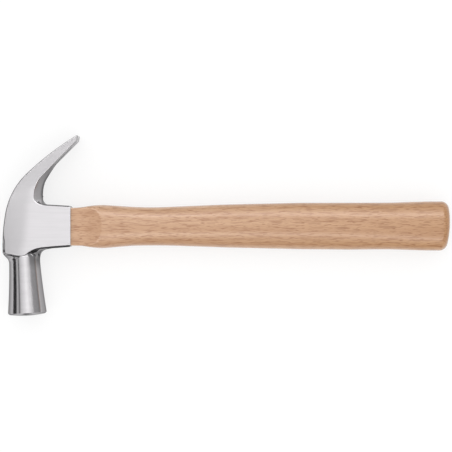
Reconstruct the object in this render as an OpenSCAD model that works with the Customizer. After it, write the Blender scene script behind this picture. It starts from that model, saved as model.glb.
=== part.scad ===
// Curved claw hammer with a wooden handle wedged into an adze eye.
// The hammer lies on its side: the handle runs along X, the claw points to +Y and the
// striking face to -Y. The floor it lies on is z = 0. All sizes are in millimetres.

/* [Head] */
// Width of the head between its two flat cheeks
cheek_w = 23.6; // [19:0.2:30]
// Depth of the eye, from the handle's shoulder to the crown of the head
eye_depth = 50.2; // [40:0.2:62]
// Distance from the handle's axis down to the lower edge of the cheek
cheek_drop = 22.6; // [20:0.2:28]
// Height of the eye boss at the handle's shoulder
boss_h_shoulder = 30; // [27:0.5:40]
// Height of the eye boss at the throat of the claw
boss_h_throat = 32.4; // [28:0.2:42]
// Small bevel along the crown and the end of the boss
edge_bevel = 1.2; // [0.4:0.1:2]

/* [Bell] */
// Diameter of the bell at its rim
bell_d = 28.5; // [23:0.5:36]
// Diameter of the flat striking face inside the rim bevel
face_d = 27; // [20:0.5:30]
// Length of the rim bevel along the bell
rim_bevel_len = 1.8; // [0.5:0.1:4]
// Diameter of the neck between the bell and the cheek
neck_d = 23.2; // [18:0.2:28]
// Distance from the handle's axis to the middle of the striking face
bell_reach = 65.9; // [54:0.1:80]
// Angle by which the face leans in towards the handle
bell_tilt = 3.1; // [0:0.1:6]
// Distance from the crown in to the axis of the bell
bell_axis_in = 14.1; // [12:0.1:17]

/* [Claw] */
// Thickness of the head from the crown to the throat of the claw
claw_root_t = 23.3; // [19:0.1:28]
// Radius of the throat between the claw and the eye boss
throat_r = 6.5; // [4:0.1:8]
// Radius of the bend under the claw
claw_bend_r = 20.4; // [16:0.1:25]
// Angle turned by the bend under the claw
claw_bend_turn = 44.5; // [35:0.5:50]
// Length of the straight run under the claw, from the bend to the tip
claw_len = 37; // [30:0.5:45]
// Width of the claw across its two tips
claw_tip_w = 28.5; // [23:0.5:35]
// Bulge of the rounded underside at the throat
throat_crown = 5.8; // [1:0.1:7]
// Length of the nail slot, measured from the tips
slot_len = 36; // [24:0.5:42]
// Width of the nail slot at the tips
slot_w_tip = 9; // [6:0.2:12]
// Width of the nail slot at its root
slot_w_root = 2; // [1:0.1:4]

/* [Eye] */
// Height of the eye at the handle's shoulder
eye_h_shoulder = 24.2; // [19:0.2:26]
// Height of the eye at the crown
eye_h_crown = 27; // [20:0.2:29]
// Width of the eye at the handle's shoulder
eye_w_shoulder = 16.6; // [13:0.2:19]
// Width of the eye at the crown
eye_w_crown = 18.8; // [14:0.2:20.5]
// Squareness of the eye, where 2 is an ellipse and more is boxier
eye_square = 4; // [2:0.1:6]
// Least thickness of steel left beside the eye
eye_wall = 2.2; // [1.5:0.1:4]
// Gap left all round between the pieces that are wedged together
fit_gap = 0.05; // [0.02:0.01:0.2]
// Depth of the handle's end below the crown of the head
end_recess = 0.5; // [0.2:0.1:2]

/* [Handle] */
// Length of the handle outside the head, from shoulder to butt
handle_len = 279.8; // [220:0.2:340]
// Height of the handle where it meets the head
neck_h = 27.8; // [26.8:0.2:36]
// Height of the handle at its shoulder swell
shoulder_h = 32.4; // [28:0.2:40]
// Height of the handle at its waist
waist_h = 28.6; // [24:0.2:35]
// Height of the handle along the grip
grip_h = 35; // [29:0.2:42]
// Height of the flared butt
butt_h = 36.9; // [30:0.1:45]
// Thickness of the handle where its flats meet the head
neck_t = 21; // [19.4:0.2:24]
// Thickness of the handle at its shoulder swell
shoulder_t = 25.4; // [21:0.2:30]
// Thickness of the handle at its waist
waist_t = 23.6; // [19:0.2:29]
// Thickness of the handle along the grip
grip_t = 26.4; // [22:0.2:32]
// Thickness of the flared butt
butt_t = 28.5; // [23:0.5:35]
// Distance from the head to the shoulder swell
shoulder_at = 20; // [14:0.5:26]
// Length of the flats cut on the handle beside the head
flat_len = 24; // [16:0.5:32]
// Rounding of the butt's end
butt_round = 4.6; // [2:0.2:8]
// Fall of the butt's domed end from its top to a point half the butt's height away
butt_dome = 2.5; // [0:0.1:4]
// Distance from the handle's axis to the top of the butt's dome, towards the claw
butt_dome_up = 3; // [0:0.5:6]

/* [Wedges] */
// Thickness of the wooden wedge at the crown
wood_wedge_t = 5; // [3:0.2:7]
// Thickness of the wooden wedge at its thin edge
wood_wedge_edge = 1; // [0.5:0.1:2]
// Length of the wooden wedge
wood_wedge_len = 34; // [24:0.5:42]
// Thickness of each steel wedge at the crown
steel_wedge_t = 3; // [2:0.1:4.5]
// Thickness of each steel wedge at its thin edge
steel_wedge_edge = 0.7; // [0.4:0.1:1.5]
// Length of each steel wedge
steel_wedge_len = 22; // [14:0.5:30]
// Width of each steel wedge across the eye
steel_wedge_w = 14; // [10:0.5:15.5]
// Distance between the middles of the two steel wedges
steel_wedge_apart = 12.6; // [8:0.2:16]

/* [Hidden] */
$fn = 96;
steel_color = [0.80, 0.80, 0.82];
wood_color = [0.81, 0.66, 0.52];
wedge_wood_color = [0.72, 0.56, 0.40];
wedge_steel_color = [0.48, 0.48, 0.50];

cheek_half = cheek_w / 2;
bell_r = bell_d / 2;
crown_x = -eye_depth;
bell_axis_x = crown_x + bell_axis_in;
// The outside of the head is one path: a straight foot, then three arcs out to the claw's tip,
// each given as its length and the angle it turns.
crown_foot_y = -17.8;
outer_legs = [[4, 0], [24.1, -10], [33.1, -36.5], [claw_len + 9.1, -11]];
// The underside of the claw is a path from the boss to the tip: throat, bend, straight.
throat_x = crown_x + claw_root_t + throat_r;
throat_y = boss_h_throat / 2;
inner_legs = [[throat_r * 90 * PI / 180, -90],
              [claw_bend_r * claw_bend_turn * PI / 180, -claw_bend_turn],
              [claw_len, 0]];
outer_len = path_length(outer_legs);
inner_len = path_length(inner_legs);
throat_end = inner_legs[0][0];
bend_end = throat_end + inner_legs[1][0];
// Places along the outer path that face the throat's two ends and the end of the bend
outer_at_boss = throat_y - crown_foot_y + 0.6;
outer_at_throat = outer_at_boss + throat_r;
outer_at_bend = outer_at_throat + 0.36 * (outer_len - outer_at_throat);
crown_fade_len = 21;
edge_steps = [1, 0.75, 0.45, 0.15];
bulge_power = 1.3;
// Resting height and middle of the whole hammer
lift = max(bell_r, butt_t / 2, claw_tip_w / 2);
tip = outer_point(outer_len);
face_x = bell_axis_x + bell_reach * sin(bell_tilt);
face_y = -bell_reach * cos(bell_tilt);
low_y = face_y - face_d / 2 * sin(bell_tilt);
place = [(eye_depth - handle_len) / 2, -(tip[1] + low_y) / 2, lift];

function path_length(legs) = [for (leg = legs) leg[0]] * [for (leg = legs) 1];
function ease(t) = let (u = min(1, max(0, t))) u * u * (3 - 2 * u);
function unit(v) = v / norm(v);

// Point and heading at distance s along one leg that starts at p with heading h
function along(p, h, leg, s) =
    leg[1] == 0 ? [p[0] + s * cos(h), p[1] + s * sin(h), h]
    : let (side = sign(leg[1]),
           r = leg[0] / (abs(leg[1]) * PI / 180),
           turned = h + leg[1] * s / leg[0])
      [p[0] + side * r * (sin(turned) - sin(h)), p[1] + side * r * (cos(h) - cos(turned)), turned];

// Point and heading at distance s along a path of legs
function walk(p, h, legs, s, i = 0) =
    s <= legs[i][0] || i == len(legs) - 1 ? along(p, h, legs[i], s)
    : let (next = along(p, h, legs[i], legs[i][0]))
      walk([next[0], next[1]], next[2], legs, s - legs[i][0], i + 1);

function outer_point(s) = let (w = walk([crown_x, crown_foot_y], 90, outer_legs, s)) [w[0], w[1]];
function inner_walk(s) = walk([throat_x, throat_y], 180, inner_legs, s);

// Bulge of the underside at distance s along the inner path
function crown_at(s) = throat_crown * ease(s / (0.4 * throat_end))
                       * (1 - ease((s - throat_end) / (bend_end - throat_end + crown_fade_len)));
// Place along the outer path that faces distance s along the inner path
function facing(s) = s < throat_end ? outer_at_boss + (outer_at_throat - outer_at_boss) * s / throat_end
    : s < bend_end ? outer_at_throat + (outer_at_bend - outer_at_throat) * (s - throat_end) / (bend_end - throat_end)
    : outer_at_bend + (outer_len - outer_at_bend) * (s - bend_end) / (inner_len - bend_end);
// Half width of the head at distance s along the inner path
function half_width_at(s) = cheek_half + (claw_tip_w / 2 - cheek_half) * ease((s - throat_end) / (inner_len - throat_end));

// One ring round the head between an outer point o and an inner point e, with half width w,
// bulging by b along the direction n
function head_ring(o, e, w, b, n) =
    let (d = unit(e - o),
         half = concat([[o[0], o[1], w - edge_bevel], [o[0] + d[0] * edge_bevel, o[1] + d[1] * edge_bevel, w]],
                       [for (k = edge_steps) let (c = b * (1 - pow(k, bulge_power))) [e[0] + n[0] * c, e[1] + n[1] * c, k * w]]))
    concat(half, [for (i = [len(half) - 1:-1:0]) [half[i][0], half[i][1], -half[i][2]]]);

function plain_ring(o, e) = head_ring(o, e, cheek_half, 0, [1, 0]);
// Ring whose inner side bulges out to the point c in the middle
function foot_ring(o, c, b) = head_ring(o, [c[0] - b, c[1]], cheek_half, b, [1, 0]);
function claw_ring(s) = let (w = inner_walk(s)) head_ring(outer_point(facing(s)), [w[0], w[1]], half_width_at(s),
                                                          crown_at(s), [sin(w[2]), -cos(w[2])]);

corner_r = 3.6;
foot_r = 5;
foot_crown = 6.5;
foot_steps = 4;
boss_steps = 6;
boss_low_y = -boss_h_shoulder / 2;
boss_high_y = boss_h_shoulder / 2;
boss_foot_x = bell_axis_x + neck_d / 2 + foot_r;
boss_foot_y = -boss_h_throat / 2 - 0.9;

// Rings from the lower edge of the cheek, past the boss, to the tips of the claw
head_rings = concat(
    [for (i = [0:foot_steps - 1]) let (a = 90 * i / foot_steps)
        foot_ring([crown_x + corner_r * (1 - sin(a)), crown_foot_y - (cheek_drop + crown_foot_y) * cos(a)],
                  [boss_foot_x - foot_r * cos(a), boss_foot_y + (-cheek_drop - boss_foot_y) * (1 - sin(a))],
                  foot_crown * (1 - 0.5 * i / foot_steps))],
    [foot_ring([crown_x, crown_foot_y], [boss_foot_x, boss_foot_y], foot_crown / 2),
     plain_ring([crown_x, crown_foot_y + 1.2], [-edge_bevel, boss_low_y])],
    [for (i = [0:boss_steps]) let (y = boss_low_y + edge_bevel + (boss_h_shoulder - 2 * edge_bevel) * i / boss_steps)
        plain_ring(outer_point(y - crown_foot_y + 0.2 + 0.2 * i / boss_steps), [0, y])],
    [plain_ring(outer_point(boss_high_y - crown_foot_y + 0.5), [-edge_bevel, boss_high_y])],
    [for (i = [0:6]) claw_ring(throat_end * i / 6)],
    [for (i = [1:7]) claw_ring(throat_end + (bend_end - throat_end) * i / 7)],
    [for (i = [1:8]) claw_ring(bend_end + claw_len * i / 8)]);

// Faces of a first end whose ring of m points is flat
function flat_end(m) = [for (j = [1:m - 2]) [0, j, j + 1]];
// Faces of a first end whose ring mirrors itself across its first point, so it may curve
function mirrored_end(m) = [for (j = [0:m / 2 - 1], side = [0, 1])
    if (!(side == 1 && j == 0) && !(side == 0 && j == m / 2 - 1))
        let (k = m - j - 1) side == 0 ? [j, j + 1, k] : [j, k, (k + 1) % m]];

// Solid skin over a row of rings, closed by the faces given for its first end and their mirror
module skin(rings, end_faces) {
    count = len(rings);
    m = len(rings[0]);
    sides = [for (i = [0:count - 2], j = [0:m - 1], side = [0, 1])
        let (a = i * m + j, b = i * m + (j + 1) % m, c = a + m, d = b + m) side == 0 ? [a, d, b] : [a, c, d]];
    last = (count - 1) * m;
    last_faces = [for (f = end_faces) [last + f[0], last + f[2], last + f[1]]];
    polyhedron(points = [for (ring = rings, p = ring) p], faces = concat(sides, end_faces, last_faces), convexity = 10);
}

// Radius of the bell at distance a behind the striking face
bell_flare_len = 44;
function bell_radius(a) = let (t = min(1, max(0, (a - 3) / (bell_flare_len - 3))))
                          neck_d / 2 + (bell_d - neck_d) / 2 * pow(1 - t, 1.5);

module bell() {
    flare_steps = 10;
    profile = concat([[0, 0], [face_d / 2, 0], [bell_r, rim_bevel_len], [bell_r, 3]],
                     [for (i = [1:flare_steps]) let (a = 3 + (bell_flare_len - 3) * i / flare_steps) [bell_radius(a), a]],
                     [[neck_d / 2, bell_reach - 8], [0, bell_reach - 8]]);
    translate([face_x, face_y, 0]) rotate([0, 0, bell_tilt]) rotate([-90, 0, 0]) rotate_extrude() polygon(profile);
}

// The eye is held inside the boss and the cheeks, so that a wall of steel is left all round
eye_h_mouth = min(eye_h_shoulder, boss_h_shoulder - 2 * eye_wall);
eye_w_mouth = min(eye_w_shoulder, cheek_w - 2 * eye_wall);
eye_w_top = min(eye_w_crown, cheek_w - 2 * eye_wall);
// Section of the eye at x, shrunk by gap, as half height and half width
function eye_half(x, gap) = let (t = -x / eye_depth)
    [(eye_h_mouth + (eye_h_crown - eye_h_mouth) * t) / 2 - gap,
     (eye_w_mouth + (eye_w_top - eye_w_mouth) * t) / 2 - gap];

// Ring of a rounded section with half height h and half thickness t, cut by flats at z = flat
ring_points = 40;
function rounded(c, power) = sign(c) * pow(abs(c), 2 / power);
function oval_ring(x, h, t, power, flat) = [for (j = [0:ring_points - 1]) let (a = 360 * j / ring_points)
    [x, h * rounded(cos(a), power), min(flat, max(-flat, t * rounded(sin(a), power)))]];

module eye_cutter() {
    over = 6;
    skin([for (x = [crown_x - over, over]) let (s = eye_half(x, 0)) oval_ring(x, s[0], s[1], eye_square, cheek_w)],
         mirrored_end(ring_points));
}

module slot_cutter() {
    ext = 9;
    steps = 8;
    root = inner_len - slot_len;
    past = 6;
    ramp = [for (i = [0:steps]) [root + (slot_len + past) * i / steps,
                                slot_w_root / 2 + (slot_w_tip - slot_w_root) / 2 * i / steps]];
    rounding = [for (a = [15, 45]) [root - slot_w_root / 2 * cos(a), slot_w_root / 2 * sin(a)]];
    skin([for (r = concat(rounding, ramp))
        let (w = inner_walk(r[0]), e = [w[0], w[1]], o = outer_point(facing(r[0])), d = unit(e - o),
             far = o - d * ext, near = e + d * ext, g = r[1])
        [[far[0], far[1], g], [near[0], near[1], g], [near[0], near[1], -g], [far[0], far[1], -g]]], flat_end(4));
}

module hammer_head() {
    color(steel_color) translate(place) difference() {
        union() {
            skin(head_rings, flat_end(len(head_rings[0])));
            bell();
        }
        eye_cutter();
        slot_cutter();
    }
}

waist_at = 0.215 * handle_len;
grip_from = 0.6 * handle_len;
grip_to = 0.84 * handle_len;
butt_at = 0.955 * handle_len;
height_keys = [[0, neck_h], [0.25 * shoulder_at, neck_h + 0.2], [shoulder_at, shoulder_h], [waist_at - 14, waist_h + 0.2],
               [waist_at, waist_h], [waist_at + 8, waist_h + 0.3], [0.4 * handle_len, (waist_h + grip_h) / 2 + 0.4],
               [grip_from, grip_h - 0.2], [grip_to, grip_h], [butt_at - 6, butt_h - 0.1], [handle_len, butt_h]];
thick_keys = [[0, shoulder_t], [shoulder_at, shoulder_t], [waist_at, waist_t], [grip_from, grip_t],
              [grip_to, grip_t], [butt_at - 6, butt_t], [handle_len, butt_t]];
// Value at x from a list of keys, softened over a short span either side
function softened(keys, x, span) = let (n = 4) ([for (i = [-n:n]) lookup(x + span * i / n, keys)] * [for (i = [-n:n]) 1]) / (2 * n + 1);
function butt_inset(x) = let (d = max(0, x - (handle_len - butt_round))) butt_round - sqrt(max(0, butt_round * butt_round - d * d));
neck_thick = min(neck_t, cheek_w - 2);
function neck_flat(x) = x >= flat_len ? butt_t : neck_thick / 2 + (shoulder_t - neck_thick) / 2 * x / flat_len;
// The sections are squarest beside the head and round off towards the shoulder's swell
neck_square = 3.1;
neck_square_to = 0.5 * shoulder_at;
neck_square_run = 0.6 * shoulder_at;
function section_power(x) = 3.9 - 0.9 * ease((x - shoulder_at) / 40) + neck_square * (1 - ease((x - neck_square_to) / neck_square_run));
function handle_oval(x) = let (span = min(6, x / 2 + 0.01, (handle_len - x) / 2 + 0.01))
    oval_ring(x, softened(height_keys, x, span) / 2 - butt_inset(x), softened(thick_keys, x, span) / 2 - butt_inset(x),
              section_power(x), neck_flat(x));
// The butt's end is a shallow dome, and the sections near it bow by more and more of the same fall
dome_run = 24;
function dome_fall(p) = butt_dome * (pow(p[1] - butt_dome_up, 2) + pow(p[2], 2)) / pow(butt_h / 2, 2);
function handle_ring(x) = [for (p = handle_oval(x)) [x - dome_fall(p) * ease((x - handle_len) / dome_run + 1), p[1], p[2]]];
function dome_ring(share) = [for (p = handle_oval(handle_len)) let (q = [handle_len, share * p[1], share * p[2]])
    [handle_len - dome_fall(q), q[1], q[2]]];

// Outside of the head as x for a given y, for trimming the ends in the eye
crown_line = [for (i = [0:24]) let (p = outer_point(outer_len * 0.45 * i / 24)) [p[1], p[0]]];
function crown_at_y(y) = lookup(y, crown_line);
function end_ring() = [for (p = tenon_ring(crown_x))
    let (x = crown_at_y(p[1]) + end_recess, wide = eye_half(crown_x, fit_gap), here = eye_half(x, fit_gap))
    [x, p[1] * here[0] / wide[0], p[2] * here[1] / wide[1]]];
function tenon_ring(x) = let (s = eye_half(x, fit_gap)) oval_ring(x, s[0], s[1], eye_square, cheek_w);

tenon_rings = concat([end_ring()], [for (i = [1:4]) tenon_ring(-0.9 * eye_depth * (1 - i / 4))]);
near_steps = 12;
far_steps = 22;
body_rings = concat(
    [for (i = [0:near_steps]) handle_ring(30 * i / near_steps)],
    [for (i = [1:far_steps]) handle_ring(30 + (handle_len - butt_round - 30) * i / far_steps)],
    [for (a = [25, 45, 65, 82]) handle_ring(handle_len - butt_round + butt_round * sin(a))],
    [for (share = [1, 0.75, 0.5, 0.25]) dome_ring(share)]);

// Tapering slab for the wooden wedge, grown by gap and run past the crown by over
module wood_wedge_slab(gap, over) {
    thick = wood_wedge_t / 2;
    thin = wood_wedge_edge / 2;
    end_x = crown_x + end_recess;
    slope = (thick - thin) / wood_wedge_len;
    rotate([90, 0, 0]) linear_extrude(height = 2 * boss_h_throat, center = true)
        polygon([[end_x - over, thick + slope * over + gap], [end_x + wood_wedge_len + gap, thin + gap],
                 [end_x + wood_wedge_len + gap, -thin - gap], [end_x - over, -thick - slope * over - gap]]);
}

// Steel wedge driven across the wooden one at height y, grown by gap and run past the crown by over
module steel_wedge_slab(y, gap, over) {
    thick = steel_wedge_t / 2;
    thin = steel_wedge_edge / 2;
    end_x = crown_at_y(y) + end_recess;
    slope = (thick - thin) / steel_wedge_len;
    wide = min(steel_wedge_w, eye_w_mouth - eye_wall);
    linear_extrude(height = wide + 2 * gap, center = true)
        polygon([[end_x - over, y + thick + slope * over + gap], [end_x + steel_wedge_len + gap, y + thin + gap],
                 [end_x + steel_wedge_len + gap, y - thin - gap], [end_x - over, y - thick - slope * over - gap]]);
}

module handle() {
    color(wood_color) translate(place) difference() {
        skin(concat(tenon_rings, body_rings), mirrored_end(ring_points));
        wood_wedge_slab(fit_gap, 8);
        for (side = [-1, 1]) steel_wedge_slab(side * steel_wedge_apart / 2, fit_gap, 8);
    }
}

module wooden_wedge() {
    color(wedge_wood_color) translate(place) difference() {
        intersection() {
            skin(tenon_rings, mirrored_end(ring_points));
            wood_wedge_slab(0, 8);
        }
        for (side = [-1, 1]) steel_wedge_slab(side * steel_wedge_apart / 2, fit_gap, 8);
    }
}

module steel_wedge_claw_side() {
    color(wedge_steel_color) translate(place) steel_wedge_slab(steel_wedge_apart / 2, 0, 0);
}

module steel_wedge_face_side() {
    color(wedge_steel_color) translate(place) steel_wedge_slab(-steel_wedge_apart / 2, 0, 0);
}

hammer_head();
handle();
wooden_wedge();
steel_wedge_claw_side();
steel_wedge_face_side();
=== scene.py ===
"""Curved claw hammer: a forged steel head, a beech handle and its wedges, on a pale studio floor."""

import logging
from dataclasses import dataclass
from enum import Enum

import bmesh
import bpy
import numpy as np
from numpy.typing import NDArray
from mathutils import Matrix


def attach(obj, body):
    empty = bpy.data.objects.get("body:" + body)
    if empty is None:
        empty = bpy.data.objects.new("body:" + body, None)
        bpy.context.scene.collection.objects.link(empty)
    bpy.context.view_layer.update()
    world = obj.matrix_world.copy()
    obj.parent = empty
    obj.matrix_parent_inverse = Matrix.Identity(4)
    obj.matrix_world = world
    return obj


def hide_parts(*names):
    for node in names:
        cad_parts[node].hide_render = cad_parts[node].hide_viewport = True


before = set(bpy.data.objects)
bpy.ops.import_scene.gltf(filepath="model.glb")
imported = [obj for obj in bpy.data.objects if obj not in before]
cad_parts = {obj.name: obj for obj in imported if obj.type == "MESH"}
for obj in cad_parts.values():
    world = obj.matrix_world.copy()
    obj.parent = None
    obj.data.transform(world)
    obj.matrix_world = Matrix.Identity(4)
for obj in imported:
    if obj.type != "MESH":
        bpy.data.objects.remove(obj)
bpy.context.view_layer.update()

LOG = logging.getLogger("hammer")
Array = NDArray[np.float64]
Numbers = NDArray[np.int64]
Triple = tuple[float, float, float]
Keys = tuple[tuple[float, float], ...]

# The head and handle are worked out in millimetres, with the handle's axis along X from the end of
# the head's boss at zero, and are then put in the frame by this shift.
MILLIMETRE = 0.001
SHIFT = np.array([-114.8, -0.3248, 14.25])

# Distance in metres within which points are merged, and the angle past which an edge stays crisp
MERGE_DISTANCE = 2e-6
CRISP_ANGLE = 32.0

# Signs of a rectangle's four corners in turn, across and up
ROUND = np.array([-1.0, 1.0, 1.0, -1.0])
RISEN = np.array([-1.0, -1.0, 1.0, 1.0])

# Factors that flatten points along X, and the direction up
FLATTENED = np.array([0.0, 1.0, 1.0])
UP = np.array([0.0, 0.0, 1.0])

# Standard screen curve: its full level, the end and the slope of its straight start, and the shift
# and the power of the curve above that
SCREEN_FULL = 255.0
SCREEN_START_END = 0.04045
SCREEN_START_SLOPE = 12.92
SCREEN_SHIFT = 0.055
SCREEN_POWER = 2.4

# Steps over which softened values are averaged, and the middle of a noise from 0 to 1
SOFTENING_STEPS = 8
NOISE_MIDDLE = 0.5

WHITE = (1.0, 1.0, 1.0)
OPAQUE = 1.0


class Slot(Enum):
    """Material slots of the record, for the head's steel and the handle's beech."""

    HEAD_STEEL = "head_steel"
    HANDLE_BEECH = "handle_beech"


class Mark(Enum):
    """Vertex attributes that tell a finish how the surface was worked there, or where painted shade darkens
    it.
    """

    BRUSHED = "brushed"
    PAINTED_CROWN_SHADE = "crown_side"
    SHADED = "shaded"
    END_GRAIN = "end_grain"


class Mix(Enum):
    """What a mix node joins: its data type, its way of blending and the ending of its sockets."""

    COLOURS = ("RGBA", "MIX", "Color")
    PRODUCT = ("RGBA", "MULTIPLY", "Color")
    NUMBERS = ("FLOAT", "MIX", "Float")


class Wall(Enum):
    """Sides of the set that hold a screen."""

    LEFT = "left"
    RIGHT = "right"
    FRONT = "front"
    BACK = "back"


@dataclass(frozen=True)
class Fade:
    """Smooth step along a measure, from 0 at one place to 1 at another."""

    zero: float
    one: float

    def at(self, value: Array) -> Array:
        """Height of the step at each value: 3t² - 2t³ of the way t from zero to one."""
        t = np.clip((value - self.zero) / (self.one - self.zero), 0.0, 1.0)
        return t * t * (3.0 - 2.0 * t)


@dataclass(frozen=True)
class Window:
    """Smooth rise to 1 along a measure, and a smooth fall back to 0."""

    rise: Fade
    fall: Fade

    def at(self, value: Array) -> Array:
        """Product of the rise and the fall at each value."""
        return self.rise.at(value) * self.fall.at(value)


def unit(vectors: Array) -> Array:
    """Vectors scaled to length one along their last axis."""
    return vectors / np.linalg.norm(vectors, axis=-1, keepdims=True)


def outward(path: Array) -> Array:
    """Unit directions to the right of a flat path, square to its gradient."""
    way = unit(np.gradient(path, axis=0))
    return np.stack([way[:, 1], -way[:, 0]], axis=-1)


def linear(red: float, green: float, blue: float) -> Triple:
    """Scene-linear colour of a screen colour, by the standard screen curve.

    Args:
        red: level of red from 0 to 255.
        green: level of green from 0 to 255.
        blue: level of blue from 0 to 255.

    Returns:
        The three levels as linear values from 0 to 1.
    """
    screen = np.array([red, green, blue]) / SCREEN_FULL
    low = screen / SCREEN_START_SLOPE
    high = ((screen + SCREEN_SHIFT) / (1.0 + SCREEN_SHIFT)) ** SCREEN_POWER
    return tuple(float(value) for value in np.where(screen <= SCREEN_START_END, low, high))


def steps(count: int, start: float = 0.0, end: float = 1.0) -> Array:
    """Evenly spaced values from start to end, count intervals."""
    return np.linspace(start, end, count + 1)


def keyed(keys: Keys, place: Array) -> Array:
    """Values at places on the straight lines between keys, each key a place and a value."""
    return np.interp(place, *np.array(keys).T)


def softened(keys: Keys, place: Array, span: Array) -> Array:
    """Values between keys, averaged over nine places within a span on either side."""
    near = place[:, None] + span[:, None] * steps(SOFTENING_STEPS, -1.0, 1.0)[None, :]
    return keyed(keys, near).mean(axis=1)


def between(first: Array, last: Array, share: Array) -> Array:
    """Points on the straight line from first to last at the given shares."""
    return first + (last - first) * share[..., None]


def bezier(first: Array, second: Array, third: Array, last: Array, share: Array) -> Array:
    """Cubic Bezier: the four points weighted by (1-t)³, 3t(1-t)², 3t²(1-t) and t³.

    Args:
        first: where the curve starts.
        second: point that it leaves towards.
        third: point that it arrives from.
        last: where the curve ends.
        share: the values of t, from 0 to 1.

    Returns:
        Points on the curve, one for each share.
    """
    t = share[..., None]
    s = 1.0 - t
    return first * s**3 + second * (3 * t * s**2) + third * (3 * t**2 * s) + last * t**3


def corner_arc(before: Array, corner: Array, after: Array, radius: float, count: int) -> Array:
    """Arc that rounds a corner between two straight edges.

    The middle lies on the bisector at radius / sin(half angle), and the points turn about it
    from one edge's touching point to the other's.

    Args:
        before: a point on the first edge.
        corner: the corner itself.
        after: a point on the second edge.
        radius: radius of the arc.
        count: number of intervals along the arc.

    Returns:
        Points along the arc, count + 1 by 2.
    """
    first = unit(before - corner)
    second = unit(after - corner)
    half = np.arccos(first @ second) / 2.0
    reach = radius / np.tan(half)
    middle = corner + unit(first + second) * radius / np.sin(half)
    begin = corner + first * reach - middle
    end = corner + second * reach - middle
    sweep = np.pi - 2.0 * half
    turned = steps(count)[:, None] * sweep
    return middle + (np.sin(sweep - turned) * begin + np.sin(turned) * end) / np.sin(sweep)


def oval(x: Array, height: Array, width: Array, power: Array, angle: Array) -> Array:
    """Superellipse sections whose radius is (|cos / h|ᵖ + |sin / w|ᵖ)^(-1/p).

    Args:
        x: places of the sections along the handle's axis.
        height: half height of each section, along Y.
        width: half width of each section, along Z.
        power: power of each section, 2 for an ellipse and more for a squarer one.
        angle: angles round the section, from +Y towards +Z.

    Returns:
        Points, one row for each section and one column for each angle.
    """
    across = np.cos(angle)[None, :]
    up = np.sin(angle)[None, :]
    radius = (np.abs(across / height) ** power + np.abs(up / width) ** power) ** (-1.0 / power)
    along = np.broadcast_to(x[:, None], radius.shape)
    return np.stack([along, radius * across, radius * up], axis=-1)


@dataclass(frozen=True)
class ArcPath:
    """Flat path of legs, each given as its length and the angle it turns in degrees."""

    start: tuple[float, float]
    heading: float
    legs: Keys

    @property
    def ends(self) -> list[float]:
        """Distances from the start at which the legs end."""
        return np.cumsum([length for length, _ in self.legs]).tolist()

    @property
    def length(self) -> float:
        """Length of all the legs together."""
        return self.ends[-1]

    def walk(self, distance: Array) -> tuple[Array, Array]:
        """Points and headings at distances along the path.

        On a straight leg the point moves along the heading; on an arc of curvature c it moves by
        (sin(h + cs) - sin h) / c and (cos h - cos(h + cs)) / c. The last leg runs on past its end.

        Args:
            distance: distances from the start.

        Returns:
            Points with a last axis of 2, and headings in radians.
        """
        points = np.zeros(distance.shape + (2,))
        headings = np.zeros(distance.shape)
        corner = np.array(self.start)
        heading = np.radians(self.heading)
        done = 0.0
        for number, (length, turn) in enumerate(self.legs):
            last = number == len(self.legs) - 1
            run = np.append(np.clip(distance - done, 0.0, np.inf if last else length), length)
            curve = np.radians(turn) / length
            turned = heading + curve * run
            if turn == 0:
                moved = np.stack([run * np.cos(heading), run * np.sin(heading)], axis=-1)
            else:
                swung = [np.sin(turned) - np.sin(heading), np.cos(heading) - np.cos(turned)]
                moved = np.stack(swung, axis=-1) / curve
            here = distance >= done
            points = np.where(here[..., None], corner + moved[:-1], points)
            headings = np.where(here, turned[:-1], headings)
            corner = corner + moved[-1]
            heading = heading + np.radians(turn)
            done += length
        return points, headings


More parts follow.
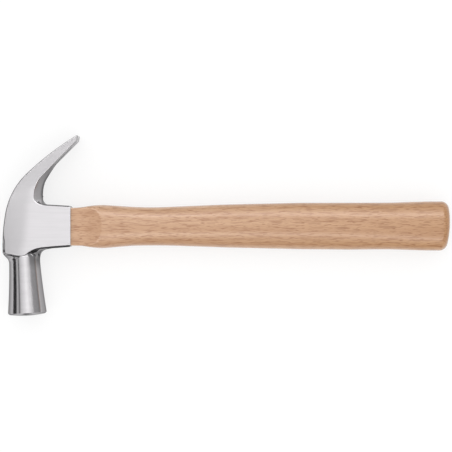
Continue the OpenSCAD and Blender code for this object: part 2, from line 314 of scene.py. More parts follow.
class Shell:
    """Vertices and faces of one piece, gathered block by block in millimetres."""

    def __init__(self) -> None:
        """Start with no vertices and no faces."""
        self.blocks: list[Array] = []
        self.faces: list[list[int]] = []
        self.count = 0

    def grid(self, points: Array, around: bool = False) -> Numbers:
        """Add a grid of points and the quads between them.

        Args:
            points: rows by columns by 3.
            around: whether the last column joins the first.

        Returns:
            Vertex numbers, rows by columns.
        """
        rows, columns = points.shape[:2]
        numbers = np.arange(rows * columns).reshape(rows, columns) + self.count
        self.blocks.append(points.reshape(-1, 3))
        self.count += rows * columns
        joined = np.concatenate([numbers, numbers[:, :1]], axis=1) if around else numbers
        quads = np.stack([joined[:-1, :-1], joined[1:, :-1], joined[1:, 1:], joined[:-1, 1:]], axis=-1)
        self.faces += quads.reshape(-1, 4).tolist()
        return numbers

    def tube(self, rings: Array) -> "Shell":
        """Add a tube of rings with a flat face at both ends, and give the shell back.

        Args:
            rings: rings by points by 3.

        Returns:
            The shell itself.
        """
        numbers = self.grid(rings, around=True)
        self.faces += [numbers[0].tolist(), numbers[-1].tolist()]
        return self

    def mirrored(self) -> None:
        """Add a copy of everything with z turned to -z and the faces turned round."""
        points = np.concatenate(self.blocks)
        self.blocks.append(points * np.array([1.0, 1.0, -1.0]))
        self.faces += [[number + self.count for number in reversed(face)] for face in self.faces]
        self.count *= 2

    def mesh(self, name: str) -> bpy.types.Mesh:
        """Mesh in the frame's metres, with coinciding points merged and the faces outward.

        Args:
            name: the mesh's name.

        Returns:
            The new mesh.
        """
        points = (np.concatenate(self.blocks) + SHIFT) * MILLIMETRE
        mesh = bpy.data.meshes.new(name)
        mesh.from_pydata(points.tolist(), [], self.faces)
        work = bmesh.new()
        work.from_mesh(mesh)
        bmesh.ops.remove_doubles(work, verts=work.verts, dist=MERGE_DISTANCE)
        bmesh.ops.recalc_face_normals(work, faces=work.faces)
        work.to_mesh(mesh)
        work.free()
        return mesh

    def piece(self, name: str) -> bpy.types.Object:
        """Object at the origin that holds the shell's mesh.

        Args:
            name: the object's and the mesh's name.

        Returns:
            The new object, linked to the scene.
        """
        piece = bpy.data.objects.new(name, self.mesh(name))
        bpy.context.scene.collection.objects.link(piece)
        return piece


def cut(piece: bpy.types.Object, cutters: list[Shell]) -> None:
    """Cut shells out of a piece by exact difference, and keep the result as its mesh.

    Args:
        piece: the piece to cut.
        cutters: the closed shells that are taken away, one after the other.
    """
    for number, shell in enumerate(cutters):
        tool = shell.piece(f"{piece.name}_cutter_{number}")
        modifier = piece.modifiers.new("cut", "BOOLEAN")
        modifier.operation = "DIFFERENCE"
        modifier.solver = "EXACT"
        modifier.object = tool
        seen = piece.evaluated_get(bpy.context.evaluated_depsgraph_get())
        result = bpy.data.meshes.new_from_object(seen)
        piece.modifiers.clear()
        old = piece.data
        piece.data = result
        result.name = piece.name
        bpy.data.meshes.remove(old)
        spent = tool.data
        bpy.data.objects.remove(tool)
        bpy.data.meshes.remove(spent)


def finished(piece: bpy.types.Object, finish: bpy.types.Material) -> None:
    """Shade a piece smooth, with its sharp edges left crisp, and give it one material.

    Args:
        piece: the piece to finish.
        finish: its material.
    """
    piece.data.shade_smooth()
    piece.data.set_sharp_from_angle(angle=np.radians(CRISP_ANGLE))
    weighted = piece.modifiers.new("even_shading", "WEIGHTED_NORMAL")
    weighted.keep_sharp = True
    piece.data.materials.clear()
    piece.data.materials.append(finish)


def vertices(piece: bpy.types.Object) -> tuple[Array, Array]:
    """Places and normals of a piece's vertices, each as three rows x, y and z.

    Args:
        piece: the piece whose mesh is read.

    Returns:
        Places in millimetres before the shift, and unit normals.
    """
    count = len(piece.data.vertices)
    places = np.empty(count * 3)
    normals = np.empty(count * 3)
    piece.data.vertices.foreach_get("co", places)
    piece.data.vertices.foreach_get("normal", normals)
    return (places.reshape(-1, 3) / MILLIMETRE - SHIFT).T, normals.reshape(-1, 3).T


def mark(piece: bpy.types.Object, name: Mark, values: Array) -> None:
    """Store one number per vertex on a piece under a mark's name."""
    attribute = piece.data.attributes.new(name.value, "FLOAT", "POINT")
    attribute.data.foreach_set("value", values.astype(np.float32))


class Nodes:
    """Short hand for building a material's or the world's node tree."""

    def __init__(self, tree: bpy.types.NodeTree) -> None:
        """Clear the tree and keep it."""
        self.tree = tree
        tree.nodes.clear()

    def add(self, kind: str, **sockets: object) -> bpy.types.Node:
        """Add a node and fill its inputs.

        Args:
            kind: the node's type.
            sockets: a value or socket for each input, by its name with underscores for spaces.

        Returns:
            The new node.
        """
        node = self.tree.nodes.new(kind)
        for name, value in sockets.items():
            self.feed(node.inputs[name.replace("_", " ")], value)
        return node

    def feed(self, socket: bpy.types.NodeSocket, value: object) -> None:
        """Link an input to a socket, or set its value, where a colour is made opaque.

        Args:
            socket: the input.
            value: a socket, or a value of the input's kind.
        """
        if isinstance(value, bpy.types.NodeSocket):
            self.tree.links.new(value, socket)
        elif socket.type == "RGBA":
            socket.default_value = (*value, OPAQUE)
        else:
            socket.default_value = value

    def math(self, operation: str, first: object, second: object) -> bpy.types.NodeSocket:
        """Result of a math node.

        Args:
            operation: what the node does.
            first: first number or socket.
            second: second number or socket.

        Returns:
            The node's output.
        """
        node = self.tree.nodes.new("ShaderNodeMath")
        node.operation = operation
        self.feed(node.inputs[0], first)
        self.feed(node.inputs[1], second)
        return node.outputs[0]

    def ramp(self, value: bpy.types.NodeSocket, stops: Keys) -> bpy.types.NodeSocket:
        """Grey level read from a ramp.

        Args:
            value: place on the ramp, from 0 to 1.
            stops: places and levels of the ramp's stops.

        Returns:
            The ramp's output.
        """
        node = self.tree.nodes.new("ShaderNodeValToRGB")
        spots = node.color_ramp.elements
        while len(spots) < len(stops):
            spots.new(1.0)
        for spot, (place, level) in zip(spots, stops):
            spot.position = place
            spot.color = (level, level, level, OPAQUE)
        self.feed(node.inputs["Fac"], value)
        return node.outputs["Color"]

    def mix(self, share: object, first: object, second: object,
            kind: Mix = Mix.COLOURS) -> bpy.types.NodeSocket:
        """Mix of two colours or numbers.

        Args:
            share: how far the mix goes from the first to the second, from 0 to 1.
            first: colour, number or socket at a share of 0.
            second: colour, number or socket at a share of 1, or the factor of a product.
            kind: what is mixed.

        Returns:
            The node's output.
        """
        node = self.tree.nodes.new("ShaderNodeMix")
        node.data_type, node.blend_type, ending = kind.value
        inputs = {socket.identifier: socket for socket in node.inputs}
        self.feed(inputs["Factor_Float"], share)
        self.feed(inputs[f"A_{ending}"], first)
        self.feed(inputs[f"B_{ending}"], second)
        return next(socket for socket in node.outputs if socket.identifier == f"Result_{ending}")

    def noise(self, stretch: Triple, detail: float = 2.0) -> bpy.types.NodeSocket:
        """Noise from 0 to 1 over Object coordinates.

        Args:
            stretch: how many waves go to a metre along each axis.
            detail: how many finer layers are added.

        Returns:
            The noise's output.
        """
        place = self.add("ShaderNodeTexCoord").outputs["Object"]
        scaled = self.add("ShaderNodeMapping", Vector=place, Scale=stretch).outputs["Vector"]
        return self.add("ShaderNodeTexNoise", Vector=scaled, Scale=1.0, Detail=detail).outputs["Fac"]

    def along(self, axis: str, low: float, high: float) -> bpy.types.NodeSocket:
        """Share of the way between two places on an axis of the Object coordinates.

        Args:
            axis: X, Y or Z.
            low: place in metres where the share is 0.
            high: place in metres where the share is 1.

        Returns:
            The share's output.
        """
        place = self.add("ShaderNodeTexCoord").outputs["Object"]
        value = self.add("ShaderNodeSeparateXYZ", Vector=place).outputs[axis]
        return self.math("DIVIDE", self.math("SUBTRACT", value, low), high - low)

    def shown(self) -> bpy.types.NodeSocket:
        """Test of the ray that looks at a surface.

        Returns:
            Output that is 1 for a ray from the camera, a mirror or glass, and 0 for one that carries light.
        """
        rays = self.add("ShaderNodeLightPath").outputs
        seen = self.math("MAXIMUM", rays["Is Camera Ray"], rays["Is Glossy Ray"])
        return self.math("MAXIMUM", seen, rays["Is Transmission Ray"])

    def worked(self, name: Mark) -> bpy.types.NodeSocket:
        """Value of a mark stored on the piece.

        Args:
            name: the mark to read.

        Returns:
            The mark's output.
        """
        node = self.tree.nodes.new("ShaderNodeAttribute")
        node.attribute_name = name.value
        return node.outputs["Fac"]

    def relief(self, strength: object, height: float, pattern: bpy.types.NodeSocket) -> bpy.types.NodeSocket:
        """Normal of a surface raised by a pattern, given a strength and a height in metres."""
        raised = self.add("ShaderNodeBump", Strength=strength, Distance=height, Height=pattern)
        return raised.outputs["Normal"]

    def glossy(self, **sockets: object) -> None:
        """Send a principled shader with the given inputs to the material's output."""
        self.surface(self.add("ShaderNodeBsdfPrincipled", **sockets).outputs["BSDF"])

    def surface(self, shader: bpy.types.NodeSocket) -> None:
        """Send a shader to the material's output."""
        self.add("ShaderNodeOutputMaterial", Surface=shader)


def material(name: str) -> tuple[bpy.types.Material, Nodes]:
    """New material with an empty node tree.

    Args:
        name: the material's name.

    Returns:
        The material, and the means to fill its tree.
    """
    made = bpy.data.materials.new(name)
    made.use_nodes = True
    return made, Nodes(made.node_tree)


@dataclass(frozen=True)
class ForgedSteel:
    """Satin brushed cheeks and a brightly polished bell, throat and edges, with painted shade darkening the
    steel in places.
    """

    cheek: Triple = (0.50, 0.487, 0.50)
    # Painted shade: the crown tone darkens the cheeks towards the crown and at the claw's tips
    crown: Triple = (0.32, 0.312, 0.32)
    polish: Triple = (0.55, 0.536, 0.55)
    # Painted shade: the polished steel darkens to this tone in the throat, on side walls and in hollows
    shade: Triple = (0.176, 0.173, 0.176)
    edge_tint: Triple = (0.45, 0.45, 0.45)
    cheek_roughness: float = 0.34
    polish_roughness: float = 0.17
    streaks: Triple = (30.0, 650.0, 650.0)
    streak_tone: Triple = (0.38, 0.375, 0.38)
    streak_ramp: Keys = ((0.3, 0.24), (0.7, 0.0))
    cheek_relief: float = 0.05
    polish_relief: float = 0.01
    relief_height: float = 0.0002
    clouds: Triple = (90.0, 140.0, 140.0)
    cloud_detail: float = 3.0
    cloud_spread: float = 0.1

    def build(self) -> bpy.types.Material:
        """Metal whose colour and roughness follow the marks, painted shade among them, with fine streaks
        along X.

        Returns:
            The new material.
        """
        made, nodes = material("forged_steel")
        brushed = nodes.worked(Mark.BRUSHED)
        streak = nodes.noise(self.streaks)
        cloud = nodes.noise(self.clouds, self.cloud_detail)
        # Painted shade: one mark darkens the brushed cheeks towards the crown, the other darkens the
        # polished steel
        satin_and_painted_shade = nodes.mix(nodes.worked(Mark.PAINTED_CROWN_SHADE), self.cheek, self.crown)
        polish_and_painted_shade = nodes.mix(nodes.worked(Mark.SHADED), self.polish, self.shade)
        tone = nodes.mix(brushed, polish_and_painted_shade, satin_and_painted_shade)
        grained = nodes.mix(nodes.ramp(streak, self.streak_ramp), tone, self.streak_tone)
        rough = nodes.mix(brushed, self.polish_roughness, self.cheek_roughness, Mix.NUMBERS)
        spread = nodes.math("MULTIPLY", nodes.math("SUBTRACT", cloud, NOISE_MIDDLE), self.cloud_spread)
        depth = nodes.mix(brushed, self.polish_relief, self.cheek_relief, Mix.NUMBERS)
        nodes.glossy(Base_Color=grained, Metallic=1.0, Roughness=nodes.math("ADD", rough, spread),
                     Specular_Tint=self.edge_tint, Normal=nodes.relief(depth, self.relief_height, streak))
        return made


@dataclass(frozen=True)
class Beech:
    """Pale lacquered beech: soft bands along the grain, short dark flecks, darker end grain."""

    light: Triple = linear(208, 169, 137)
    dark: Triple = linear(190, 147, 112)
    fleck: Triple = linear(160, 113, 80)
    end: Triple = linear(176, 131, 96)
    end_share: float = 0.7
    neck_at: float = -0.08
    butt_at: float = 0.16
    butt_warmth: Triple = (0.86, 0.78, 0.64)
    bands: Triple = (5.0, 190.0, 190.0)
    band_detail: float = 3.0
    band_ramp: Keys = ((0.3, 0.0), (0.7, 1.0))
    fibres: Triple = (40.0, 1500.0, 1500.0)
    fibre_ramp: Keys = ((0.35, 0.0), (0.7, 0.3))
    dashes: Triple = (95.0, 1000.0, 1000.0)
    dash_ramp: Keys = ((0.52, 0.0), (0.68, 0.6))
    flecks: Triple = (200.0, 1700.0, 1700.0)
    fleck_ramp: Keys = ((0.56, 0.0), (0.7, 0.85))
    fleck_detail: float = 1.0
    roughness: float = 0.40
    roughness_spread: float = 0.12
    bare_gloss: float = 0.1
    lacquer: float = 1.0
    lacquer_roughness: float = 0.26
    relief: float = 0.06
    relief_height: float = 0.0003

    def build(self) -> bpy.types.Material:
        """Wood whose tone follows stretched noise along X and whose end grain follows its mark.

        Returns:
            The new material.
        """
        made, nodes = material("lacquered_beech")
        band = nodes.noise(self.bands, self.band_detail)
        fibre = nodes.noise(self.fibres)
        dash = nodes.noise(self.dashes, self.fleck_detail)
        fleck = nodes.noise(self.flecks, self.fleck_detail)
        base = nodes.mix(nodes.ramp(band, self.band_ramp), self.light, self.dark)
        fine = nodes.mix(nodes.ramp(fibre, self.fibre_ramp), base, self.dark)
        dashed = nodes.mix(nodes.ramp(dash, self.dash_ramp), fine, self.fleck)
        spotted = nodes.mix(nodes.ramp(fleck, self.fleck_ramp), dashed, self.fleck)
        warmth = nodes.mix(nodes.along("X", self.neck_at, self.butt_at), WHITE, self.butt_warmth)
        warmed = nodes.mix(1.0, spotted, warmth, Mix.PRODUCT)
        end = nodes.math("MULTIPLY", nodes.worked(Mark.END_GRAIN), self.end_share)
        spread = nodes.math("MULTIPLY", fibre, self.roughness_spread)
        rough = nodes.math("ADD", spread, self.roughness - self.roughness_spread * NOISE_MIDDLE)
        nodes.glossy(Base_Color=nodes.mix(end, warmed, self.end), Roughness=rough,
                     Specular_IOR_Level=self.bare_gloss, Coat_Weight=self.lacquer,
                     Coat_Roughness=self.lacquer_roughness,
                     Normal=nodes.relief(self.relief, self.relief_height, fibre))
        return made


@dataclass(frozen=True)
class WedgeFinish:
    """Two tones of noise with a little relief, for a wedge that was driven in and left bare."""

    name: str
    light: Triple
    dark: Triple
    metallic: float
    roughness: float
    pattern: Triple
    detail: float
    ramp: Keys
    relief: float
    relief_height: float = 0.0002

    def build(self) -> bpy.types.Material:
        """Material whose tone follows the noise between the light and the dark.

        Returns:
            The new material.
        """
        made, nodes = material(self.name)
        spot = nodes.noise(self.pattern, self.detail)
        tone = nodes.mix(nodes.ramp(spot, self.ramp), self.light, self.dark)
        nodes.glossy(Base_Color=tone, Metallic=self.metallic, Roughness=self.roughness,
                     Normal=nodes.relief(self.relief, self.relief_height, spot))
        return made


HARDWOOD = WedgeFinish(
    "wedge_hardwood", light=linear(190, 148, 108), dark=linear(150, 108, 72), metallic=0.0, roughness=0.6,
    pattern=(300.0, 260.0, 900.0), detail=3.0, ramp=((0.35, 0.0), (0.65, 1.0)), relief=0.2)
DULL_STEEL = WedgeFinish(
    "wedge_steel", light=(0.52, 0.52, 0.53), dark=(0.33, 0.32, 0.32), metallic=1.0, roughness=0.45,
    pattern=(500.0, 500.0, 500.0), detail=4.0, ramp=((0.4, 0.0), (0.65, 1.0)), relief=0.25)


@dataclass
class Eye:
    """Tapered hole through the head that the handle's tenon is wedged into."""

    depth: float = 50.2
    height_mouth: float = 24.2
    height_crown: float = 27.0
    width_mouth: float = 16.6
    width_crown: float = 18.8
    squareness: float = 4.0
    cutter_over: float = 6.0
    cutter_sides: int = 96

    def ring(self, x: Array, angle: Array, gap: float) -> Array:
        """Sections of the eye, superellipses that widen towards the crown.

        Args:
            x: places along the handle's axis.
            angle: angles round the section, from +Y towards +Z.
            gap: how far the section is shrunk all round.

        Returns:
            Points, one row for each x and one column for each angle.
        """
        taper = (-x / self.depth)[:, None]
        height = (self.height_mouth + (self.height_crown - self.height_mouth) * taper) / 2 - gap
        width = (self.width_mouth + (self.width_crown - self.width_mouth) * taper) / 2 - gap
        return oval(x, height, width, np.full(x.shape, self.squareness)[:, None], angle)

    def cutter(self) -> Shell:
        """Closed shell of the hole, run past both ends of the head."""
        ends = np.array([-self.depth - self.cutter_over, self.cutter_over])
        return Shell().tube(self.ring(ends, steps(self.cutter_sides, 0, 2 * np.pi)[:-1], 0.0))


@dataclass(frozen=True)
class SteelWorkAndShade:
    """Where the head's steel is brushed, and where painted shade darkens it towards the crown, at the claw's
    tips, in the throat, on side walls and in hollows.

    Places are in millimetres, and a fade on a normal takes the part of it along one axis.
    """

    # Flats of the cheeks, which face up or down and end above the neck
    upright: Fade = Fade(0.90, 0.98)
    above_neck: Fade = Fade(-23.5, -22.0)
    # Surfaces under the cheek that face the bell
    to_bell: Fade = Fade(-0.03, -0.11)
    under_cheek: Fade = Fade(-17.0, -18.5)
    # Painted shade: darker side of the cheeks, left of a line from the neck to the claw, and less of it up
    # the claw
    crown_edge: Keys = (
        (-17.4, -36.2), (-10.0, -34.0), (0.0, -32.8), (15.6, -31.7), (28.9, -28.0), (45.0, 10.0))
    crown_fade: Fade = Fade(4.0, -4.0)
    crown_share: float = 0.5
    crown_cut: float = 0.2
    crown_cut_fade: Fade = Fade(10.0, 30.0)
    # Painted shade: darker tips of the claw
    tip_share: float = 0.6
    tip_from: float = 50.0
    tip_run: float = 15.0
    tip_power: float = 1.5
    # Painted shade in the middle of the claw's inside, told by the way that it faces
    inside_way: tuple[float, float] = (0.9, -0.35)
    inside_fade: Fade = Fade(0.0, 0.3)
    inside_reach: Window = Window(Fade(15.0, 17.0), Fade(45.0, 38.0))
    inside_middle: Fade = Fade(7.5, 2.0)
    # Painted shade on the side walls, apart from the throat's corner
    wall_share: float = 0.52
    wall_fade: Fade = Fade(0.8, 0.5)
    throat_corner: tuple[float, float] = (-23.2, 17.4)
    corner_fade: Fade = Fade(1.0, 3.2)
    # Painted shade on walls tucked in between the neck and the boss
    tuck_share: float = 0.5
    tuck_fade: Fade = Fade(0.1, 0.35)
    tuck_below: float = -14.0
    tuck_reach: Fade = Fade(-33.0, -24.0)
    tuck_wall: Fade = Fade(0.98, 0.88)
    # Painted shade in the hollow under the cheek, right of the neck's middle
    hollow_share: float = 0.9
    hollow_reach: Fade = Fade(-28.0, -26.0)
    hollow_right: Fade = Fade(-36.0, -33.0)

    def facing_bell(self, places: Array, normals: Array) -> Array:
        """Share by which each vertex lies under the cheek and faces the bell."""
        return self.to_bell.at(normals[1]) * self.under_cheek.at(places[1])

    def brushed(self, places: Array, normals: Array) -> Array:
        """Share by which each vertex lies on a brushed flat."""
        flat = self.upright.at(np.abs(normals[2])) * self.above_neck.at(places[1])
        return flat * (1.0 - self.facing_bell(places, normals))

    def crown_side(self, places: Array) -> Array:
        """Share of painted shade at each vertex, on the darker side towards the crown or near the tips.

        Args:
            places: the vertices' places.

        Returns:
            The mark's values.
        """
        x, y, _ = places
        crown = self.crown_fade.at(x - keyed(self.crown_edge, y))
        tips = self.tip_share * np.clip((y - self.tip_from) / self.tip_run, 0.0, 1.0) ** self.tip_power
        return self.crown_share * crown * (1.0 - self.crown_cut * self.crown_cut_fade.at(y)) + tips

    def shaded(self, places: Array, normals: Array) -> Array:
        """Share of painted shade at each vertex, in the throat, on a side wall or in a hollow.

        Args:
            places: the vertices' places.
            normals: the vertices' normals.

        Returns:
            The mark's values, the greatest of the three shares.
        """
        x, y, z = places
        steep = np.abs(normals[2])
        inside = self.inside_fade.at(self.inside_way[0] * normals[0] + self.inside_way[1] * normals[1])
        deep = inside * self.inside_reach.at(y) * self.inside_middle.at(np.abs(z))
        corner = np.hypot(x - self.throat_corner[0], y - self.throat_corner[1])
        wall = self.wall_share * self.wall_fade.at(steep) * self.corner_fade.at(corner)
        tucked = self.tuck_fade.at(normals[0]) * self.tuck_reach.at(y) * (y < self.tuck_below)
        wall = wall + self.tuck_share * tucked * self.tuck_wall.at(steep)
        hollow = self.hollow_share * self.facing_bell(places, normals)
        hollow = hollow * self.hollow_reach.at(y) * self.hollow_right.at(x)
        return np.maximum(np.maximum(deep, wall), hollow)


@dataclass
class Rungs:
    """Rungs across the flat of the cheek, from the boss's lower corner to the claw's tips.

    The left edge runs along the crown and the claw's back, and the right edge round the boss and
    along the claw's underside. Each edge has its points, outward directions, rounding and chamfer.
    The bulge moves the middle of the underside, half is the half width, and spread runs from 0 at
    the throat's end to 1 at the tips.
    """

    left: Array
    left_out: Array
    left_round: Array
    left_chamfer: Array
    right: Array
    right_out: Array
    right_round: Array
    right_chamfer: Array
    bulge: Array
    half: Array
    spread: Array


@dataclass
class HammerHead:
    """One steel forging: bell, neck, cheeks, eye boss and curved claw."""

    eye: Eye
    finish: ForgedSteel = ForgedSteel()
    work: SteelWorkAndShade = SteelWorkAndShade()

    # Outlines: the crown and the claw's back, the claw's underside, the throat on the cheeks, and the
    # boss by its corners
    outer: ArcPath = ArcPath((-50.2, -19.8), 90.0, ((6.0, 0.0), (24.1, -10.5), (33.1, -36.2), (47.1, -12.3)))
    inner: ArcPath = ArcPath((-20.4, 16.2), 180.0, ((10.21, -90.0), (15.84, -44.5), (37.0, 0.0)))
    throat: ArcPath = ArcPath((-20.4, 16.2), 176.6, ((1.235, 0.0), (8.464, -86.6), (0.837, 0.0)))
    boss: Keys = ((-24.2, -17.5), (0.0, -15.1), (0.0, 15.0), (-20.4, 16.2))
    boss_round: float = 1.5
    boss_top_round: float = 1.3
    # Share of the outer outline that is the crown, and its steps
    crown_share: float = 0.45
    crown_steps: int = 48

    # Rungs on the boss's lower corner, mouth, upper corner and top, and on the throat, bend and prong
    rung_counts: tuple[int, ...] = (5, 26, 5, 16, 22, 26, 44)
    # Keys by the rung's number: places on the outer outline that face the boss, and the right edge
    boss_facing: Keys = ((0, 0.8), (5, 5.6), (31, 33.6), (36, 34.6), (51, 36.5))
    edge_rounding: Keys = (
        (0, 1.5), (4, 1.5), (5, 0.12), (31, 0.12), (33, 0.6), (34, 0.75), (36, 0.8), (51, 0.8), (58, 0.4))
    edge_chamfer: Keys = (
        (0, 1.0), (4, 1.0), (5, 0.0), (31, 0.0), (33, 0.4), (34, 0.6), (36, 1.0), (51, 1.0), (58, 0.0))
    # Places on the outer outline that face the start and the ends of the underside's first legs
    claw_facing: Triple = (36.6, 43.1, 66.93)

    # Half widths, and how the edges are broken up the claw, along the crown and at the tips
    cheek_half: float = 11.8
    claw_tip_half: float = 14.25
    claw_rounding: Keys = ((0.3, 1.0), (1.0, 0.5))
    crown_rounding: Keys = ((-18.5, 1.1), (-13.0, 1.0), (-8.5, 0.5), (-5.0, 0.15), (0.0, 0.0))
    crown_chamfer: Fade = Fade(-6.0, -12.0)
    chamfer_slope: float = 0.92
    tip_round: float = 0.4

    # Bulge of the throat, and the fall of the cheeks towards the crown, which the claw has less of
    throat_crown: float = 5.8
    throat_lead: float = 2.5
    throat_rise: float = 0.4
    throat_fade: float = 21.0
    bulge_power: float = 1.3
    crown_drop: float = 0.9
    crown_drop_run: float = 17.0
    claw_drop_cut: float = 0.7
    claw_drop_fade: Fade = Fade(0.0, 1.0 / 3.0)

    # Nail slot, with the angles that round its root, and how far its cutter runs past the claw
    slot_length: float = 36.0
    slot_root_half: float = 1.0
    slot_tip_half: float = 4.5
    slot_root_angles: Triple = (5.0, 30.0, 60.0)
    slot_steps: int = 60
    slot_past: float = 6.0
    slot_over: float = 9.0

    # Bell and neck, with shares across the rim's bevel and the face for their rings
    face_middle: tuple[float, float] = (-32.54, -66.10)
    bell_tilt: float = 3.1
    face_radius: float = 13.2
    face_dome: float = 1.2
    rim_radius: float = 14.25
    neck_radius: float = 11.35
    rim_bevel: float = 2.3
    rim_end: float = 3.0
    flare_end: float = 44.0
    flare_power: float = 1.5
    flare_steps: int = 36
    neck_behind_side: float = 39.6
    neck_behind_top: float = 3.1
    bevel_shares: tuple[float, ...] = (1.12, 1.04, 1.0, 0.95, 0.5, 0.12, 0.05, 0.0)
    face_shares: tuple[float, ...] = (0.99, 0.97, 0.8, 0.6, 0.4, 0.2, 0.0)

    # Lower edge of the cheeks: its line, how that is softened and how far up it bends the rungs, and
    # the width and the slope of the ledge that breaks it
    foot_line: Keys = (
        (-48.1, -19.0), (-47.8, -19.35), (-47.2, -19.6), (-46.4, -19.8), (-45.0, -20.2), (-42.0, -20.9),
        (-39.1, -21.5), (-36.9, -21.6), (-33.9, -21.4), (-32.5, -20.6), (-31.0, -19.2), (-28.8, -17.8),
        (-27.3, -17.0), (-25.9, -16.4), (-24.4, -16.0), (-22.9, -15.7), (-20.7, -15.35), (-17.8, -15.05),
        (-13.4, -14.65), (-7.5, -14.2), (-1.45, -13.75), (2.0, -13.4))
    foot_soften: float = 0.7
    foot_soften_run: float = 2.0
    foot_bend_fade: float = 16.0
    ledge_line: Keys = (
        (-48.1, 2.1), (-46.5, 1.9), (-44.2, 1.6), (-41.0, 1.6), (-38.7, 1.4), (-37.2, 0.55), (-36.0, 0.3),
        (-33.5, 0.3), (-32.0, 0.4), (-31.0, 0.8), (-29.5, 2.0), (-28.8, 2.5), (-27.3, 2.9), (-25.9, 3.0),
        (-24.4, 2.2), (-22.9, 1.5), (-17.8, 1.45), (-7.5, 1.55), (-1.45, 1.5))
    ledge_slope: Keys = (
        (-48.1, 0.45), (-46.5, 0.5), (-44.5, 0.7), (-43.0, 0.92), (-37.5, 0.92), (-36.0, 1.6),
        (-34.0, 2.0), (-31.0, 2.2), (-29.5, 0.92))

    # Foot of the neck. Its columns have a running number q: 0 to 1 down the crown's corner, 1 to 2
    # round the neck, 2 to 3 up the scoop under the boss, and 3 to 4 along the boss. The fades that
    # follow are on q, and the dips are in degrees.
    column_counts: tuple[int, ...] = (14, 48, 14, 22)
    column_keys: Keys = (
        (0.0, -48.1), (0.25, -47.9), (0.5, -47.3), (0.85, -46.2), (1.05, -45.0), (1.25, -41.0), (1.5, -35.0),
        (1.72, -30.0), (1.92, -26.5), (2.05, -24.6), (2.5, -21.0), (3.0, -17.5), (4.0, -1.45))
    corner_pull: tuple[float, float] = (4.4, 3.9)
    scoop_powers: tuple[float, float] = (1.3, 0.85)
    arrive_axial: Window = Window(Fade(0.9, 1.3), Fade(2.25, 1.85))
    arrive_share: float = 0.4
    leave_share: float = 0.2
    leave_dip: float = 75.0
    leave_dip_cut: float = 20.0
    leave_dip_fade: Fade = Fade(0.6, 1.1)
    leave_level: Window = Window(Fade(1.1, 1.35), Fade(1.75, 1.55))
    foot_weight: Window = Window(Fade(0.0, 0.3), Fade(3.4, 2.8))

    # Steps down the broken edge and down the side wall below it
    round_steps: int = 6
    wall_steps: int = 10

    def crown_line(self, y: Array) -> Array:
        """Place of the head's outside along X for heights y."""
        points, _ = self.outer.walk(steps(self.crown_steps, 0.0, self.crown_share * self.outer.length))
        return np.interp(y, points[:, 1], points[:, 0])

    def facing(self, run: Array) -> Array:
        """Places on the outer outline that face distances along the claw's underside."""
        return np.interp(run, [0.0, *self.inner.ends], [*self.claw_facing, self.outer.length])

    def bell_radius(self, behind: Array) -> Array:
        """Radius of the bell at distances behind its face: neck plus flare times (1 - t)^p."""
        t = np.clip((behind - self.rim_end) / (self.flare_end - self.rim_end), 0.0, 1.0)
        return self.neck_radius + (self.rim_radius - self.neck_radius) * (1.0 - t) ** self.flare_power

    def bell_point(self, behind: Array, radius: Array, angle: Array) -> Array:
        """Points about the bell's tilted axis.

        Args:
            behind: distances behind the face.
            radius: distances from the axis.
            angle: angles round the axis, from the handle's side up to +Z.

        Returns:
            Points with a last axis of 3.
        """
        lean = np.radians(self.bell_tilt)
        x = self.face_middle[0] - behind * np.sin(lean) + radius * np.cos(angle) * np.cos(lean)
        y = self.face_middle[1] + behind * np.cos(lean) + radius * np.cos(angle) * np.sin(lean)
        return np.stack([x, y, radius * np.sin(angle)], axis=-1)

    def neck_behind(self, angle: Array) -> Array:
        """How far behind the face the neck meets the cheek, further at its top than at its sides."""
        return self.neck_behind_side + self.neck_behind_top * np.sin(angle) ** 2

    def foot_edge(self, x: Array) -> Array:
        """Height of the cheek's lower edge, softened, but less so at the crown.

        Args:
            x: places along the edge.

        Returns:
            The edge's y at each place.
        """
        crown_end = self.foot_line[0][0]
        span = self.foot_soften * np.clip((x - crown_end) / self.foot_soften_run, 0.0, 1.0)
        return softened(self.foot_line, x, span)

    def foot_columns(self) -> tuple[Array, Array]:
        """Columns of the foot, spaced by the counts of its four parts.

        Returns:
            The columns' running numbers q, and the places x where they leave the cheek's lower edge.
        """
        parts = [steps(count, part, part + 1)[1:] for part, count in enumerate(self.column_counts)]
        q = np.concatenate([[0.0], *parts])
        return q, keyed(self.column_keys, q)

    def foot_target(self, q: Array, boss: Array) -> tuple[Array, Array]:
        """Where each column of the foot ends, and the way the surface arrives there.

        The ends follow a Bezier curve down the crown's corner, the neck's ring, a scoop drawn by
        powers of sine and cosine, and the boss's lower outline.

        Args:
            q: the columns' running numbers.
            boss: points of the boss's lower outline under the columns.

        Returns:
            End points, and unit directions that lead back from them.
        """
        angle = np.pi * (2.0 - np.clip(q, 1.0, 2.0))
        behind = self.neck_behind(angle)
        ring = self.bell_point(behind, self.bell_radius(behind), angle)
        left = ring[np.argmax(q >= 1.0)]
        right = ring[-1]
        top = np.array([self.outer.start[0], self.foot_line[0][1], 0.0])
        below = top - np.array([0.0, self.corner_pull[0], 0.0])
        above = left + np.array([0.0, self.corner_pull[1], 0.0])
        crown = bezier(top, below, above, left, np.clip(q, 0.0, 1.0))
        turn = np.clip(q - 2.0, 0.0, 1.0) * np.pi / 2
        end = boss[np.argmax(q >= 3.0)]
        scoop_x = right[0] + (end[0] - right[0]) * (1.0 - np.cos(turn)) ** self.scoop_powers[0]
        scoop_y = right[1] + (end[1] - right[1]) * np.sin(turn) ** self.scoop_powers[1]
        scoop = np.stack([scoop_x, scoop_y, np.zeros(q.shape)], axis=-1)
        along = np.concatenate([boss, np.zeros((len(q), 1))], axis=1)
        part = [(q < 1.0)[:, None], (q <= 2.0)[:, None], (q < 3.0)[:, None]]
        target = np.select(part, [crown, ring, scoop], along)
        axial = self.arrive_axial.at(q)[:, None]
        lean = np.radians(self.bell_tilt)
        back = np.array([-np.sin(lean), np.cos(lean), 0.0]) * axial + UP * (1.0 - axial)
        return target, unit(back)

